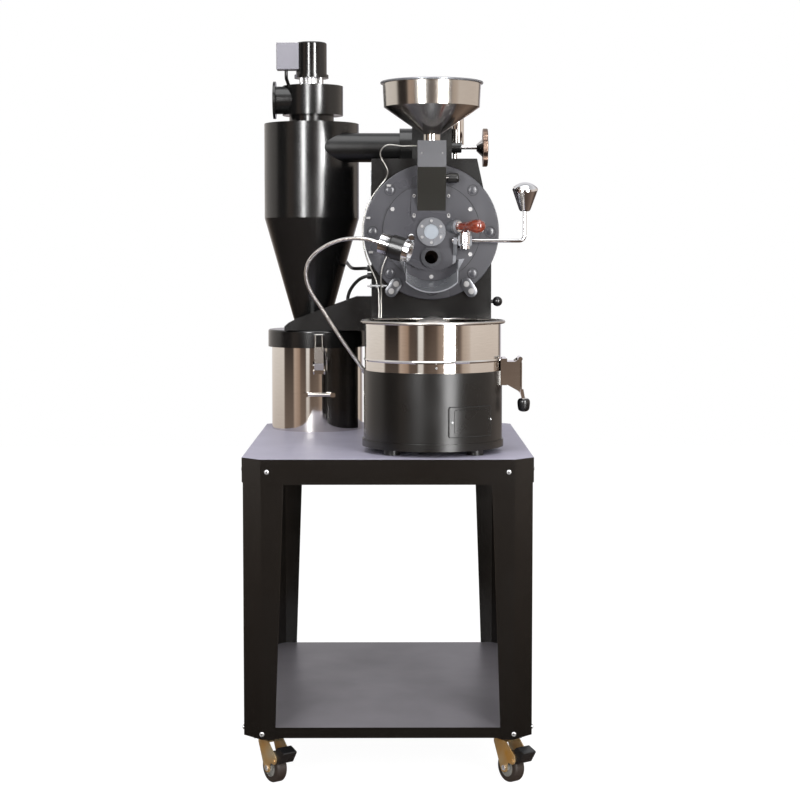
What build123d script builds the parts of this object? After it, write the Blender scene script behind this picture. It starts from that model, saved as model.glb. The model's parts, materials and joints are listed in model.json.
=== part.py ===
"""Electric drum coffee roaster with cooling bin, chaff cyclone and wheeled cart.

Millimetres. The origin is on the floor under the middle of the cart, +X is to the
right of someone standing at the cooling bin, +Y goes to the back and +Z is up.
"""
from build123d import *
import os
from math import atan2, cos, degrees, radians, sin, sqrt, tan

# Cart
cart_width = 600.0
cart_depth = 800.0
table_height = 676.0
corner_cut = 41.0
sheet = 2.0
apron_height = 52.0
leg_bottom = 98.0
leg_flange_top = 48.0
leg_flange_bottom = 28.0
foot_plate = 3.0
shelf_lip = 25.0
contact = 0.3
running = 0.05

# Casters
caster_inset_x = 55.0
caster_inset_y = 56.0
caster_trail = 18.0
tyre_radius = 31.5
tyre_width = 25.0
axle_radius = 4.0
fork_gap = 33.0
fork_sheet = 2.5
king_pin_radius = 6.0
race_radius = 22.0
race_height = 6.0
caster_plate_side = 62.0
caster_plate_thickness = 3.0
pedal_pivot_out = 28.0
pedal_pivot_up = 20.5
pedal_cheek = 2.4
pedal_pin_radius = 2.5
tyre_clearance = 2.4

# Roasting drum, its casing and its front plate
roast_x = 95.0
roast_height = 465.0
face_y = -70.0
face_radius = 149.0
face_thickness = 14.0
disc_radius = 108.0
disc_thickness = 3.0
boss_radius = 11.0
boss_ring = 129.0
drum_radius = 105.0
drum_length = 240.0
drum_wall = 3.0
drum_gap = 6.0
shaft_radius = 12.0
casing_left = -37.0
body_right = 228.0
casing_right = 210.0
casing_back = 245.0
casing_top = 626.0
casing_split = 330.0
body_step = 400.0
rear_wall = 8.0

# Bean feed
hopper_y = -100.0
hopper_rim_height = 789.0
hopper_radius = 112.0
hopper_drum = 55.0
neck_radius = 18.5
chute_top = 661.0
chute_knee = 604.0
chute_foot = 506.0
chute_half = 31.0
chute_reach = 58.0
gate_height = 582.0

# Cooling bin
bin_x = 95.0
bin_y = -230.0
bin_feet = 12.0
bin_ring_radius = 149.5
bin_ring_height = 15.0
skirt_radius = 146.5
skirt_top = 172.0
skirt_wall = 2.0
bin_radius = 144.2
bin_wall = 1.5
bin_rim_height = 277.0
bin_rim_radius = 153.0
bin_floor_height = 150.0

# Chaff cyclone and barrel
cyclone_x = -183.0
cyclone_y = 262.0
cyclone_radius = 112.5
cyclone_shoulder = 26.0
cyclone_height = 223.0
cone_radius = 43.5
cone_spigot = 22.0
cyclone_wall = 2.0
pipe_radius = 34.0
pipe_rise = 39.0
pipe_y = 189.0
blower_radius = 72.0
blower_collar = 20.0
blower_height = 69.0
motor_radius = 36.5
motor_gap = 27.0
motor_height = 76.0
barrel_x = -171.0
barrel_radius = 108.5
barrel_height = 207.0
lid_radius = 117.0
lid_height = 31.0

deck = table_height
lid_top = barrel_height + lid_height
cone_bottom = lid_top + cone_spigot
pipe_height = casing_top + pipe_rise
cyclone_top = pipe_height + pipe_radius + cyclone_shoulder
cyclone_bottom = cyclone_top - cyclone_height
blower_bottom = cyclone_top + blower_collar
blower_top = blower_bottom + blower_height
motor_bottom = blower_top + motor_gap
motor_top = motor_bottom + motor_height
os.makedirs("parts", exist_ok=True)


def save(piece, name):
    """Label a finished piece and write it as one STEP file."""
    piece.part.label = name
    export_step(piece.part, f"parts/{name}.step")


# Cart top: a folded pan with cut corners
half_w = cart_width / 2
half_d = cart_depth / 2


def cut_corner_outline(inset):
    """The cart's outline in plan, a rectangle with 45 degree corners."""
    w = half_w - inset
    d = half_d - inset
    c = corner_cut - inset * (2 - sqrt(2))
    Polygon((-w + c, -d), (w - c, -d), (w, -d + c), (w, d - c), (w - c, d),
            (-w + c, d), (-w, d - c), (-w, -d + c), align=None)


with BuildPart() as cart_top:
    with BuildSketch(Plane.XY.offset(deck - apron_height)):
        cut_corner_outline(0)
    extrude(amount=apron_height)
    with BuildSketch(Plane.XY.offset(deck - apron_height)):
        cut_corner_outline(sheet)
    extrude(amount=apron_height - sheet, mode=Mode.SUBTRACT)
    fillet(cart_top.faces().sort_by(Axis.Z)[-1].edges(), sheet * 0.6)
save(cart_top, "cart_top")

# Legs: folded corner sheets that taper towards the floor, each with a foot plate
leg_top = deck - sheet
leg_inset = sheet
with BuildPart() as leg:
    with BuildSketch(Plane.XY.offset(leg_bottom)):
        cut_corner_outline(leg_inset)
    extrude(amount=leg_top - leg_bottom)
    with BuildSketch(Plane.XY.offset(leg_bottom + foot_plate)):
        cut_corner_outline(leg_inset + sheet)
    extrude(amount=leg_top - leg_bottom, mode=Mode.SUBTRACT)
    reach_top = corner_cut + leg_flange_top
    reach_bottom = corner_cut + leg_flange_bottom
    with BuildSketch(Plane.XY.offset(leg_bottom)):
        with Locations((half_w - reach_bottom, -half_d + reach_bottom)):
            Rectangle(reach_bottom, reach_bottom, align=(Align.MIN, Align.MAX))
    with BuildSketch(Plane.XY.offset(leg_top)):
        with Locations((half_w - reach_top, -half_d + reach_top)):
            Rectangle(reach_top, reach_top, align=(Align.MIN, Align.MAX))
    loft(mode=Mode.INTERSECT)
with BuildPart() as cart_legs:
    add(leg.part)
    mirror(about=Plane.YZ)
    mirror(about=Plane.XZ)
save(cart_legs, "cart_legs")

# Lower shelf: a tray whose lip stands inside the legs
with BuildPart() as lower_shelf:
    tray_inset = leg_inset + sheet
    with BuildSketch(Plane.XY.offset(leg_bottom + foot_plate)):
        cut_corner_outline(tray_inset)
    extrude(amount=shelf_lip - foot_plate)
    with BuildSketch(Plane.XY.offset(leg_bottom + foot_plate)):
        cut_corner_outline(tray_inset + sheet)
    extrude(amount=shelf_lip - foot_plate - sheet, mode=Mode.SUBTRACT)
save(lower_shelf, "lower_shelf")

# Casters: plate with ball race and king pin, swivelling fork, wheel and brake pedal
caster_places = {
    "front_left": (-1, -1, -55.0),
    "front_right": (1, -1, -55.0),
    "rear_left": (-1, 1, 155.0),
    "rear_right": (1, 1, 55.0),
}
caster_x = half_w - caster_inset_x
caster_y = half_d - caster_inset_y
crown_top = leg_bottom - caster_plate_thickness - race_height - contact
pin_head = 3.0
fork_outer = fork_gap + 2 * fork_sheet
pedal_outer = fork_gap - 2 * contact
brake_x = caster_trail + pedal_pivot_out
brake_z = tyre_radius + pedal_pivot_up

with BuildPart() as caster_plates:
    for side, end, heading in caster_places.values():
        with Locations((side * caster_x, end * caster_y, leg_bottom)):
            Box(caster_plate_side, caster_plate_side, caster_plate_thickness,
                align=(Align.CENTER, Align.CENTER, Align.MAX))
        with Locations((side * caster_x, end * caster_y, leg_bottom - caster_plate_thickness)):
            Cylinder(race_radius, race_height, align=(Align.CENTER, Align.CENTER, Align.MAX))
            Cylinder(king_pin_radius, race_height + contact + fork_sheet + contact,
                     align=(Align.CENTER, Align.CENTER, Align.MAX))
        with Locations((side * caster_x, end * caster_y, crown_top - fork_sheet - contact)):
            Cylinder(king_pin_radius * 1.5, pin_head, align=(Align.CENTER, Align.CENTER, Align.MAX))
save(caster_plates, "caster_plates")

for place, (side, end, heading) in caster_places.items():
    along = Vector(cos(radians(heading)), sin(radians(heading)), 0)
    across = along.cross(Vector(0, 0, 1))
    swivel = Vector(side * caster_x, end * caster_y, 0)
    mid = Plane(origin=swivel, x_dir=along, z_dir=across)
    crown = Plane(origin=swivel + Vector(0, 0, crown_top), x_dir=along, z_dir=(0, 0, 1))

    with BuildPart() as fork:
        with BuildSketch(mid):
            with BuildLine():
                Polyline((-20, crown_top), (22, crown_top), (brake_x + 5, brake_z + 10),
                         (brake_x + 8, brake_z), (brake_x + 2, brake_z - 8),
                         (caster_trail + 10, tyre_radius + 14), (caster_trail + 9, tyre_radius - 9),
                         (caster_trail - 8, tyre_radius - 9), (-20, crown_top), close=True)
            make_face()
            fillet(vertices().group_by(Axis.Z)[0], 7)
        extrude(amount=fork_outer / 2, both=True)
        with BuildSketch(mid):
            with Locations((0, (crown_top - fork_sheet) / 2)):
                Rectangle(400, crown_top - fork_sheet)
        extrude(amount=fork_gap / 2, both=True, mode=Mode.SUBTRACT)
        with BuildSketch(mid):
            with Locations((brake_x + 2, crown_top)):
                Rectangle(brake_x - 22, 2 * (crown_top - brake_z - 2))
        extrude(amount=fork_gap / 2, both=True, mode=Mode.SUBTRACT)
        with BuildSketch(crown):
            Circle(king_pin_radius + running)
        extrude(amount=-fork_sheet * 2, mode=Mode.SUBTRACT)
        for pin_at, pin_radius in (((caster_trail, tyre_radius), axle_radius),
                                   ((brake_x, brake_z), pedal_pin_radius)):
            with BuildSketch(mid):
                with Locations(pin_at):
                    Circle(pin_radius)
            extrude(amount=fork_outer / 2, both=True)
            for face_side in (-1, 1):
                with BuildSketch(mid.offset(face_side * fork_outer / 2)):
                    with Locations(pin_at):
                        RegularPolygon(pin_radius * 1.5, 6)
                extrude(amount=face_side * pin_radius * 0.6)
    save(fork, f"caster_fork_{place}")

    with BuildPart() as wheel:
        with BuildSketch(mid):
            with Locations((caster_trail, tyre_radius)):
                Circle(tyre_radius)
        extrude(amount=tyre_width / 2, both=True)
        fillet(wheel.edges().filter_by(GeomType.CIRCLE), 5.5)
        for face_side in (-1, 1):
            with BuildSketch(mid.offset(face_side * tyre_width / 2)):
                with Locations((caster_trail, tyre_radius)):
                    Circle(tyre_radius * 0.62)
                    Circle(axle_radius * 2, mode=Mode.SUBTRACT)
            extrude(amount=-face_side * 5, mode=Mode.SUBTRACT)
        with BuildSketch(mid):
            with Locations((caster_trail, tyre_radius)):
                Circle(axle_radius * 2)
        extrude(amount=fork_gap / 2 - contact, both=True)
        with BuildSketch(mid):
            with Locations((caster_trail, tyre_radius)):
                Circle(axle_radius + running)
        extrude(amount=fork_gap, both=True, mode=Mode.SUBTRACT)
    save(wheel, f"caster_wheel_{place}")

    with BuildPart() as pedal:
        with BuildSketch(mid):
            with BuildLine():
                Polyline((brake_x - 6, brake_z - 5), (brake_x - 6, brake_z + 15),
                         (brake_x + 10, brake_z + 30), (brake_x + 34, brake_z + 22),
                         (brake_x + 18, brake_z - 2), (brake_x + 4, brake_z - 6), close=True)
            make_face()
            fillet(vertices(), 2.5)
        extrude(amount=pedal_outer / 2, both=True)
        with BuildSketch(mid):
            with Locations((caster_trail, tyre_radius)):
                Circle(tyre_radius + tyre_clearance)
            with Locations((brake_x, brake_z)):
                Circle(pedal_pin_radius + 3)
        extrude(amount=pedal_outer / 2 - pedal_cheek, both=True, mode=Mode.SUBTRACT)
        with BuildSketch(mid):
            with Locations((brake_x, brake_z)):
                Circle(pedal_pin_radius + running)
        extrude(amount=fork_gap, both=True, mode=Mode.SUBTRACT)
    save(pedal, f"brake_pedal_{place}")

# Cooling bin: base ring on four feet, black skirt, polished bowl and perforated floor
bin_at = Vector(bin_x, bin_y, 0)
base_bottom = deck + bin_feet
skirt_bottom = base_bottom + bin_ring_height
skirt_height = deck + skirt_top - skirt_bottom
skirt_inside = skirt_radius - skirt_wall
floor_z = deck + bin_floor_height
floor_sheet = 1.5
rim_z = deck + bin_rim_height
rim_roll = 3.5
bead_height = 194.5
vent_radius = 104.0
foot_radius = 17.0
foot_ring = 122.0


def bin_plane(z):
    """A horizontal plane on the bin's axis, z above the floor."""
    return Plane(origin=(bin_x, bin_y, z), x_dir=(1, 0, 0), z_dir=(0, 0, 1))


bin_section = Plane(origin=(bin_x, bin_y, 0), x_dir=(1, 0, 0), z_dir=(0, -1, 0))
bin_axis = Axis((bin_x, bin_y, 0), (0, 0, 1))

with BuildPart() as bin_base:
    with BuildSketch(bin_plane(base_bottom)):
        Circle(bin_ring_radius)
        Circle(vent_radius, mode=Mode.SUBTRACT)
    extrude(amount=bin_ring_height)
    with BuildSketch(bin_plane(base_bottom + sheet)):
        Circle(bin_ring_radius - sheet)
        Circle(vent_radius + sheet, mode=Mode.SUBTRACT)
    extrude(amount=bin_ring_height, mode=Mode.SUBTRACT)
    with BuildSketch(bin_plane(skirt_bottom)):
        Circle(bin_ring_radius)
        Circle(skirt_inside, mode=Mode.SUBTRACT)
    extrude(amount=-sheet)
    with BuildSketch(bin_plane(deck)):
        with PolarLocations(foot_ring, 4, start_angle=45):
            Circle(foot_radius)
    extrude(amount=bin_feet)
save(bin_base, "bin_base")

# Discharge gate on the right: a sloped chute and a hinged flap with a hanging handle
gate_width = 62.0
gate_top = 190.0
gate_sill = 152.0
gate_out = 278.0
gate_outer_low = 126.0
gate_plate = 2.0
gate_hinge_radius = 2.5
gate_plane = Plane(origin=(0, bin_y, 0), x_dir=(1, 0, 0), z_dir=(0, -1, 0))
flange_radius = skirt_radius + contact

with BuildPart() as bin_skirt:
    with BuildSketch(bin_plane(skirt_bottom)):
        Circle(skirt_radius)
        Circle(skirt_inside, mode=Mode.SUBTRACT)
    extrude(amount=skirt_height)
    with BuildSketch(gate_plane):
        with Locations((bin_x, deck + gate_sill)):
            Rectangle(skirt_radius + 60, gate_top - gate_sill, align=(Align.MIN, Align.MIN))
    extrude(amount=gate_width / 2 - gate_plate, both=True, mode=Mode.SUBTRACT)
save(bin_skirt, "bin_skirt")

with BuildPart() as bin_bowl:
    with BuildSketch(bin_section):
        with BuildLine():
            low = floor_z - 8
            Polyline((bin_radius - bin_wall, low), (bin_radius, low),
                     (bin_radius, deck + bead_height - 3), (bin_radius + 2.2, deck + bead_height),
                     (bin_radius, deck + bead_height + 3), (bin_radius, rim_z - 5),
                     (bin_rim_radius - rim_roll, rim_z - rim_roll),
                     (bin_rim_radius - rim_roll, rim_z - rim_roll + bin_wall),
                     (bin_radius - bin_wall, rim_z - 4), (bin_radius - bin_wall, low), close=True)
        make_face()
        with Locations((bin_rim_radius - rim_roll, rim_z - rim_roll)):
            Circle(rim_roll)
    revolve(axis=bin_axis)
    with BuildSketch(gate_plane):
        with Locations((bin_x, deck + gate_sill)):
            Rectangle(skirt_radius + 60, gate_top - gate_sill, align=(Align.MIN, Align.MIN))
    extrude(amount=gate_width / 2 - gate_plate, both=True, mode=Mode.SUBTRACT)
save(bin_bowl, "bin_bowl")

# Perforated floor: rings of holes, and a bush for the stirrer shaft in the middle
stirrer_shaft = 7.0
perforation = 4.5
bush_height = 6.0
floor_rim = bin_radius - bin_wall - contact / 3
with BuildPart() as bin_floor:
    with BuildSketch(bin_plane(floor_z - floor_sheet)):
        Circle(floor_rim)
        for ring in range(3, 9):
            with PolarLocations(ring * 15.5, ring * 3):
                Circle(perforation, mode=Mode.SUBTRACT)
    extrude(amount=floor_sheet)
    with BuildSketch(bin_plane(floor_z - bush_height)):
        Circle(floor_rim)
        Circle(floor_rim - 5, mode=Mode.SUBTRACT)
        Circle(stirrer_shaft + 6)
    extrude(amount=bush_height)
    with BuildSketch(bin_plane(floor_z - bush_height)):
        Circle(stirrer_shaft + running)
    extrude(amount=bush_height, mode=Mode.SUBTRACT)
save(bin_floor, "bin_floor")

# Stirrer: domed hub on a column, three arms with slanted paddles
hub_top = rim_z + 7
hub_radius = 35.0
column_radius = 16.0
arm_height = floor_z + 22
arm_length = bin_radius - bin_wall - 8
coupling_drop = 22.0
dome_rise = 14.0
dome_sphere = (hub_radius ** 2 + dome_rise ** 2) / (2 * dome_rise)
dome_half_angle = atan2(hub_radius, dome_sphere - dome_rise)
with BuildPart() as stirrer:
    with BuildSketch(bin_section):
        with BuildLine():
            dome = Polyline((0, floor_z - bush_height - coupling_drop),
                            (stirrer_shaft, floor_z - bush_height - coupling_drop),
                            (stirrer_shaft, floor_z + 1), (column_radius, floor_z + 1),
                            (column_radius, hub_top - dome_rise - 16),
                            (hub_radius, hub_top - dome_rise - 10), (hub_radius, hub_top - dome_rise))
            half_turn = dome_half_angle / 2
            ThreePointArc(dome @ 1, (dome_sphere * sin(half_turn),
                                     hub_top - dome_sphere * (1 - cos(half_turn))), (0, hub_top))
            Line((0, hub_top), dome @ 0)
        make_face()
    revolve(axis=bin_axis)
    for turn in (20, 140, 260):
        along = Vector(cos(radians(turn)), sin(radians(turn)), 0)
        arm_plane = Plane(origin=Vector(bin_x, bin_y, arm_height) + along * column_radius / 2,
                          x_dir=along.cross(Vector(0, 0, 1)), z_dir=along)
        with BuildSketch(arm_plane):
            Circle(5)
        extrude(amount=arm_length - column_radius / 2)
        paddle_plane = Plane(origin=Vector(bin_x, bin_y, floor_z + 14) + along * (column_radius + 18),
                             x_dir=along.cross(Vector(0, 0, 1)), z_dir=along)
        with BuildSketch(paddle_plane):
            with Locations(Rotation(0, 0, 25)):
                Rectangle(4, 24)
        extrude(amount=arm_length - column_radius - 18)
save(stirrer, "stirrer")

# Drive under the floor: a bridge with the stirrer's gear motor above and the fan motor below
bridge_z = deck + 78.0
bridge_sheet = 4.0
bridge_width = 46.0
stirrer_motor_radius = 33.0
fan_motor_radius = 30.0
fan_hub_z = deck + 34.0
fan_shaft = 5.0
with BuildPart() as stirrer_motor:
    with BuildSketch(bin_plane(bridge_z)):
        Rectangle(2 * skirt_inside + 20, bridge_width)
        Circle(stirrer_motor_radius)
        Circle(skirt_inside - 0.1, mode=Mode.INTERSECT)
    extrude(amount=bridge_sheet)
    with BuildSketch(bin_plane(bridge_z)):
        Circle(stirrer_motor_radius)
    extrude(amount=floor_z - bush_height - 4 - bridge_z)
    with BuildSketch(bin_plane(bridge_z)):
        Circle(fan_motor_radius)
    extrude(amount=-(bridge_z - fan_hub_z - 22))
    with BuildSketch(bin_plane(floor_z - bush_height - 4)):
        Circle(stirrer_shaft + running)
    extrude(amount=-coupling_drop, mode=Mode.SUBTRACT)
    with BuildSketch(bin_plane(fan_hub_z + 22)):
        Circle(fan_shaft + running)
    extrude(amount=14, mode=Mode.SUBTRACT)
save(stirrer_motor, "stirrer_motor")

fan_radius = vent_radius - 4
with BuildPart() as cooling_fan:
    with BuildSketch(bin_plane(fan_hub_z - 9)):
        Circle(24)
    extrude(amount=20)
    with BuildSketch(bin_plane(fan_hub_z + 11)):
        Circle(fan_shaft)
    extrude(amount=24)
    for blade in range(7):
        along = Vector(cos(radians(blade * 360 / 7)), sin(radians(blade * 360 / 7)), 0)
        blade_plane = Plane(origin=Vector(bin_x, bin_y, fan_hub_z + 1) + along * 20,
                            x_dir=along.cross(Vector(0, 0, 1)), z_dir=along)
        with BuildSketch(blade_plane):
            with Locations(Rotation(0, 0, 28)):
                Rectangle(46, 2.2)
        extrude(amount=fan_radius - 20)
save(cooling_fan, "cooling_fan")

# Chaff access door on the skirt's front right: a curved panel with a raised middle
door_angle = -58.1
door_wide = 105.0
door_tall = 61.5
door_low = 41.5
door_sheet = 3.0


door_facing = Vector(cos(radians(door_angle)), sin(radians(door_angle)), 0)
with BuildPart() as access_door:
    for wide, tall, thick in ((door_wide, door_tall, door_sheet),
                              (door_wide * 0.8, door_tall - 12, door_sheet + 1.5)):
        low = deck + door_low + (door_tall - tall) / 2
        patch = Plane(origin=bin_at + Vector(0, 0, low), x_dir=Vector(0, 0, 1).cross(door_facing),
                      z_dir=door_facing)
        with BuildSketch(patch):
            with Locations((0, tall / 2)):
                RectangleRounded(wide, tall, 4)
        extrude(amount=flange_radius + thick + 10)
        with BuildSketch(bin_plane(low)):
            Circle(flange_radius + thick + 30)
            Circle(flange_radius + thick, mode=Mode.SUBTRACT)
        extrude(amount=door_tall, mode=Mode.SUBTRACT)
    with BuildSketch(bin_plane(deck)):
        Circle(flange_radius)
    extrude(amount=deck, mode=Mode.SUBTRACT)
save(access_door, "access_door")

# Gate chute: flange on the skirt, two cheeks, top and sloped floor
with BuildPart() as gate_chute:
    start_x = bin_x + sqrt(skirt_radius ** 2 - (gate_width / 2 + 9) ** 2)
    with BuildSketch(gate_plane):
        with BuildLine():
            Polyline((start_x, deck + gate_top), (gate_out, deck + gate_top),
                     (gate_out, deck + gate_outer_low), (start_x, deck + gate_sill - 2),
                     (start_x, deck + gate_top), close=True)
        make_face()
    extrude(amount=gate_width / 2, both=True)
    with BuildSketch(gate_plane):
        with BuildLine():
            Polyline((start_x - 1, deck + gate_top - gate_plate),
                     (gate_out + 1, deck + gate_top - gate_plate),
                     (gate_out + 1, deck + gate_outer_low + gate_plate),
                     (start_x - 1, deck + gate_sill + gate_plate),
                     (start_x - 1, deck + gate_top - gate_plate), close=True)
        make_face()
    extrude(amount=gate_width / 2 - gate_plate, both=True, mode=Mode.SUBTRACT)
    with BuildSketch(gate_plane):
        with Locations((start_x, deck + (gate_top + gate_sill) / 2 - 2)):
            Rectangle(14, gate_top - gate_sill + 18, align=(Align.MIN, Align.CENTER))
    extrude(amount=gate_width / 2 + 8, both=True)
    with BuildSketch(gate_plane):
        with Locations((start_x - 1, deck + gate_sill + gate_plate)):
            Rectangle(16, gate_top - gate_sill - 2 * gate_plate, align=(Align.MIN, Align.MIN))
    extrude(amount=gate_width / 2 - gate_plate, both=True, mode=Mode.SUBTRACT)
    with BuildSketch(bin_plane(deck + gate_outer_low - 20)):
        Circle(flange_radius)
    extrude(amount=gate_top, mode=Mode.SUBTRACT)
    hinge_z = deck + gate_top + gate_hinge_radius + 2 + 3 * contact
    hinge_x = gate_out + 1.0
    with BuildSketch(Plane.XZ.offset(-bin_y)):
        with Locations((hinge_x, hinge_z)):
            Circle(gate_hinge_radius)
    extrude(amount=gate_width / 2, both=True)
    for end in (-1, 1):
        with BuildSketch(Plane.XZ.offset(-bin_y - end * (gate_width / 2 - 3))):
            with BuildLine():
                Polyline((gate_out - 12, deck + gate_top - 1), (gate_out, deck + gate_top - 1),
                         (hinge_x + 4, hinge_z), (hinge_x, hinge_z + 4), (gate_out - 12, deck + gate_top - 1),
                         close=True)
            make_face()
        extrude(amount=3, both=True)
save(gate_chute, "gate_chute")

# Gate flap: plate hinged at its top edge, with a stem and an oval knob below
flap_low = deck + gate_outer_low - 4
stem_low = deck + 108.0
knob_low = deck + 82.0
with BuildPart() as gate_flap:
    flap_x = gate_out + 3 * contact
    with BuildSketch(gate_plane):
        with Locations((flap_x, flap_low)):
            Rectangle(gate_plate + 1, hinge_z - flap_low, align=(Align.MIN, Align.MIN))
        with Locations((hinge_x, hinge_z)):
            Circle(gate_hinge_radius + 2)
    extrude(amount=gate_width / 2 - 6 - contact, both=True)
    with BuildSketch(gate_plane):
        with Locations((flap_x, flap_low)):
            Rectangle(gate_plate + 1, hinge_z - flap_low - 8, align=(Align.MIN, Align.MIN))
    extrude(amount=gate_width / 2, both=True)
    with BuildSketch(gate_plane):
        with Locations((hinge_x, hinge_z)):
            Circle(gate_hinge_radius + running)
    extrude(amount=gate_width, both=True, mode=Mode.SUBTRACT)
    with BuildSketch(gate_plane):
        with BuildLine():
            Polyline((flap_x, flap_low + 8), (flap_x + 8, flap_low + 8),
                     (flap_x + 12, stem_low), (flap_x + 6, stem_low - 4), (flap_x, flap_low + 8), close=True)
        make_face()
    extrude(amount=4, both=True)
    with BuildSketch(gate_plane):
        with BuildLine():
            stem = Line((flap_x + 9, stem_low + 4), (flap_x + 9, knob_low))
            Spline(stem @ 1, (flap_x + 22, (stem_low + knob_low) / 2), stem @ 0,
                   tangents=((1, 0), (-1, 0)))
        make_face()
    revolve(axis=Axis((flap_x + 9, bin_y, 0), (0, 0, 1)))
save(gate_flap, "gate_flap")

# Lower body: an open steel box that carries the casing, with a raised front panel
body_front = face_y + face_thickness
body_wall = 3.0
front_section = Plane(origin=(0, body_front, 0), x_dir=(1, 0, 0), z_dir=(0, -1, 0))
drum_z = deck + roast_height
drum_room = drum_radius + drum_wall + drum_gap
panel_left = 5.0
panel_right = 182.0
panel_top = 290.0
knob_stem = 4.0
knob_y = body_front + 22
knob_z = deck + 311
knob_section = Plane(origin=(body_right, knob_y, knob_z), x_dir=(0, 1, 0), z_dir=(1, 0, 0))
with BuildPart() as lower_body:
    with BuildSketch(front_section):
        with Locations((casing_left, deck)):
            Rectangle(body_right - casing_left, casing_split, align=(Align.MIN, Align.MIN))
    extrude(amount=body_front - casing_back)
    with BuildSketch(front_section.offset(-body_wall)):
        with Locations((casing_left + body_wall, deck + body_wall)):
            Rectangle(body_right - casing_left - 2 * body_wall, casing_split,
                      align=(Align.MIN, Align.MIN))
    extrude(amount=body_front - casing_back + 2 * body_wall, mode=Mode.SUBTRACT)
    with BuildSketch(front_section):
        with Locations((panel_left, deck + 20)):
            Rectangle(panel_right - panel_left, panel_top - 20, align=(Align.MIN, Align.MIN))
    extrude(amount=2.5)
    with BuildSketch(knob_section):
        Circle(knob_stem + running)
    extrude(amount=-2 * body_wall, mode=Mode.SUBTRACT)
save(lower_body, "lower_body")

# Drum casing: the box behind the front plate, bored for the drum and the heater
casing_bottom = deck + casing_split
shoulder = 14.0
casing_top_z = deck + casing_top
heater_rod = 4.5
heater_z = drum_z - drum_room + 1
heater_x = (-36.0, -12.0, 12.0, 36.0)
exhaust_x = 101.0
exhaust_hole = 33.0
with BuildPart() as drum_casing:
    with BuildSketch(front_section):
        with BuildLine():
            Polyline((casing_left, casing_bottom), (body_right, casing_bottom),
                     (body_right, deck + body_step), (casing_right, deck + body_step + 26),
                     (casing_right, casing_top_z - 4.6 * shoulder), (casing_right - shoulder, casing_top_z),
                     (casing_left, casing_top_z), (casing_left, casing_bottom), close=True)
        make_face()
    extrude(amount=body_front - casing_back)
    with BuildSketch(front_section):
        with Locations((roast_x, drum_z)):
            Circle(drum_room)
        with Locations((roast_x, heater_z)):
            Rectangle(110, 44, align=(Align.CENTER, Align.CENTER))
    extrude(amount=body_front - casing_back + rear_wall, mode=Mode.SUBTRACT)
    with BuildSketch(front_section.offset(body_front - casing_back)):
        with Locations((roast_x, drum_z)):
            Circle(shaft_radius + running)
    extrude(amount=40, mode=Mode.SUBTRACT)
    with BuildSketch(Plane.XY.offset(casing_top_z)):
        with Locations((exhaust_x, pipe_y)):
            Circle(exhaust_hole)
    extrude(amount=-(casing_top - roast_height), mode=Mode.SUBTRACT)
save(drum_casing, "drum_casing")

# Front plate: cast ring with bosses; the drum's mouth opens behind its door and feed hole
door_arc = 89.0
door_half = 54.0
door_top = 430.0
hole_half = 42.0
hole_low = 388.0
hole_high = 424.0
feed_half = 25.0
feed_low = 512.0
feed_high = 548.0
plate_section = Plane(origin=(0, face_y, 0), x_dir=(1, 0, 0), z_dir=(0, -1, 0))
trier_out = 50.0
trier_z = 476.0
trier_radius = 8.0
trier_turn = 38.0
sight_radius = 31.5
sight_bore = 16.0
trier_dir = Vector(sin(radians(trier_turn)), -cos(radians(trier_turn)), 0)
trier_plane = Plane(origin=Vector(roast_x + trier_out, face_y - disc_thickness, deck + trier_z),
                    x_dir=Vector(0, 0, 1).cross(trier_dir), z_dir=trier_dir)
front_face = face_y - disc_thickness

with BuildPart() as face_plate:
    with BuildSketch(plate_section):
        with Locations((roast_x, drum_z)):
            Circle(face_radius)
    extrude(amount=-face_thickness)
    fillet(face_plate.faces().sort_by(Axis.Y)[0].edges(), 2)
    with BuildSketch(plate_section):
        for turn in range(0, 360, 45):
            around = radians(turn)
            with Locations((roast_x + boss_ring * cos(around), drum_z + boss_ring * sin(around))):
                Circle(boss_radius)
    extrude(amount=2)
    with BuildSketch(plate_section.offset(3)):
        with Locations((roast_x, drum_z)):
            Circle(sight_bore)
        with Locations((roast_x, deck + (hole_low + hole_high) / 2)):
            Rectangle(2 * hole_half, hole_high - hole_low)
        with Locations((roast_x, deck + (feed_low + feed_high) / 2)):
            Rectangle(2 * feed_half, feed_high - feed_low)
    extrude(amount=-face_thickness - 10, mode=Mode.SUBTRACT)
    with BuildSketch(trier_plane.offset(10)):
        Circle(trier_radius + 0.1)
    extrude(amount=-60, mode=Mode.SUBTRACT)
save(face_plate, "face_plate")

with BuildPart() as face_disc:
    with BuildSketch(plate_section):
        with Locations((roast_x, drum_z)):
            Circle(disc_radius)
            Circle(sight_bore, mode=Mode.SUBTRACT)
        with Locations((roast_x, deck + (hole_low + hole_high) / 2)):
            Rectangle(2 * hole_half, hole_high - hole_low, mode=Mode.SUBTRACT)
        with Locations((roast_x, deck + (feed_low + feed_high) / 2)):
            Rectangle(2 * feed_half, feed_high - feed_low, mode=Mode.SUBTRACT)
    extrude(amount=disc_thickness)
    with BuildSketch(trier_plane.offset(10)):
        Circle(trier_radius + 0.1)
    extrude(amount=-30, mode=Mode.SUBTRACT)
    for turn in (30, 150, 210, 270, 330):
        with BuildSketch(plate_section.offset(disc_thickness)):
            with Locations((roast_x + 98.7 * cos(radians(turn)), drum_z + 98.7 * sin(radians(turn)))):
                RegularPolygon(5, 6)
        extrude(amount=3)
save(face_disc, "face_disc")

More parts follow.
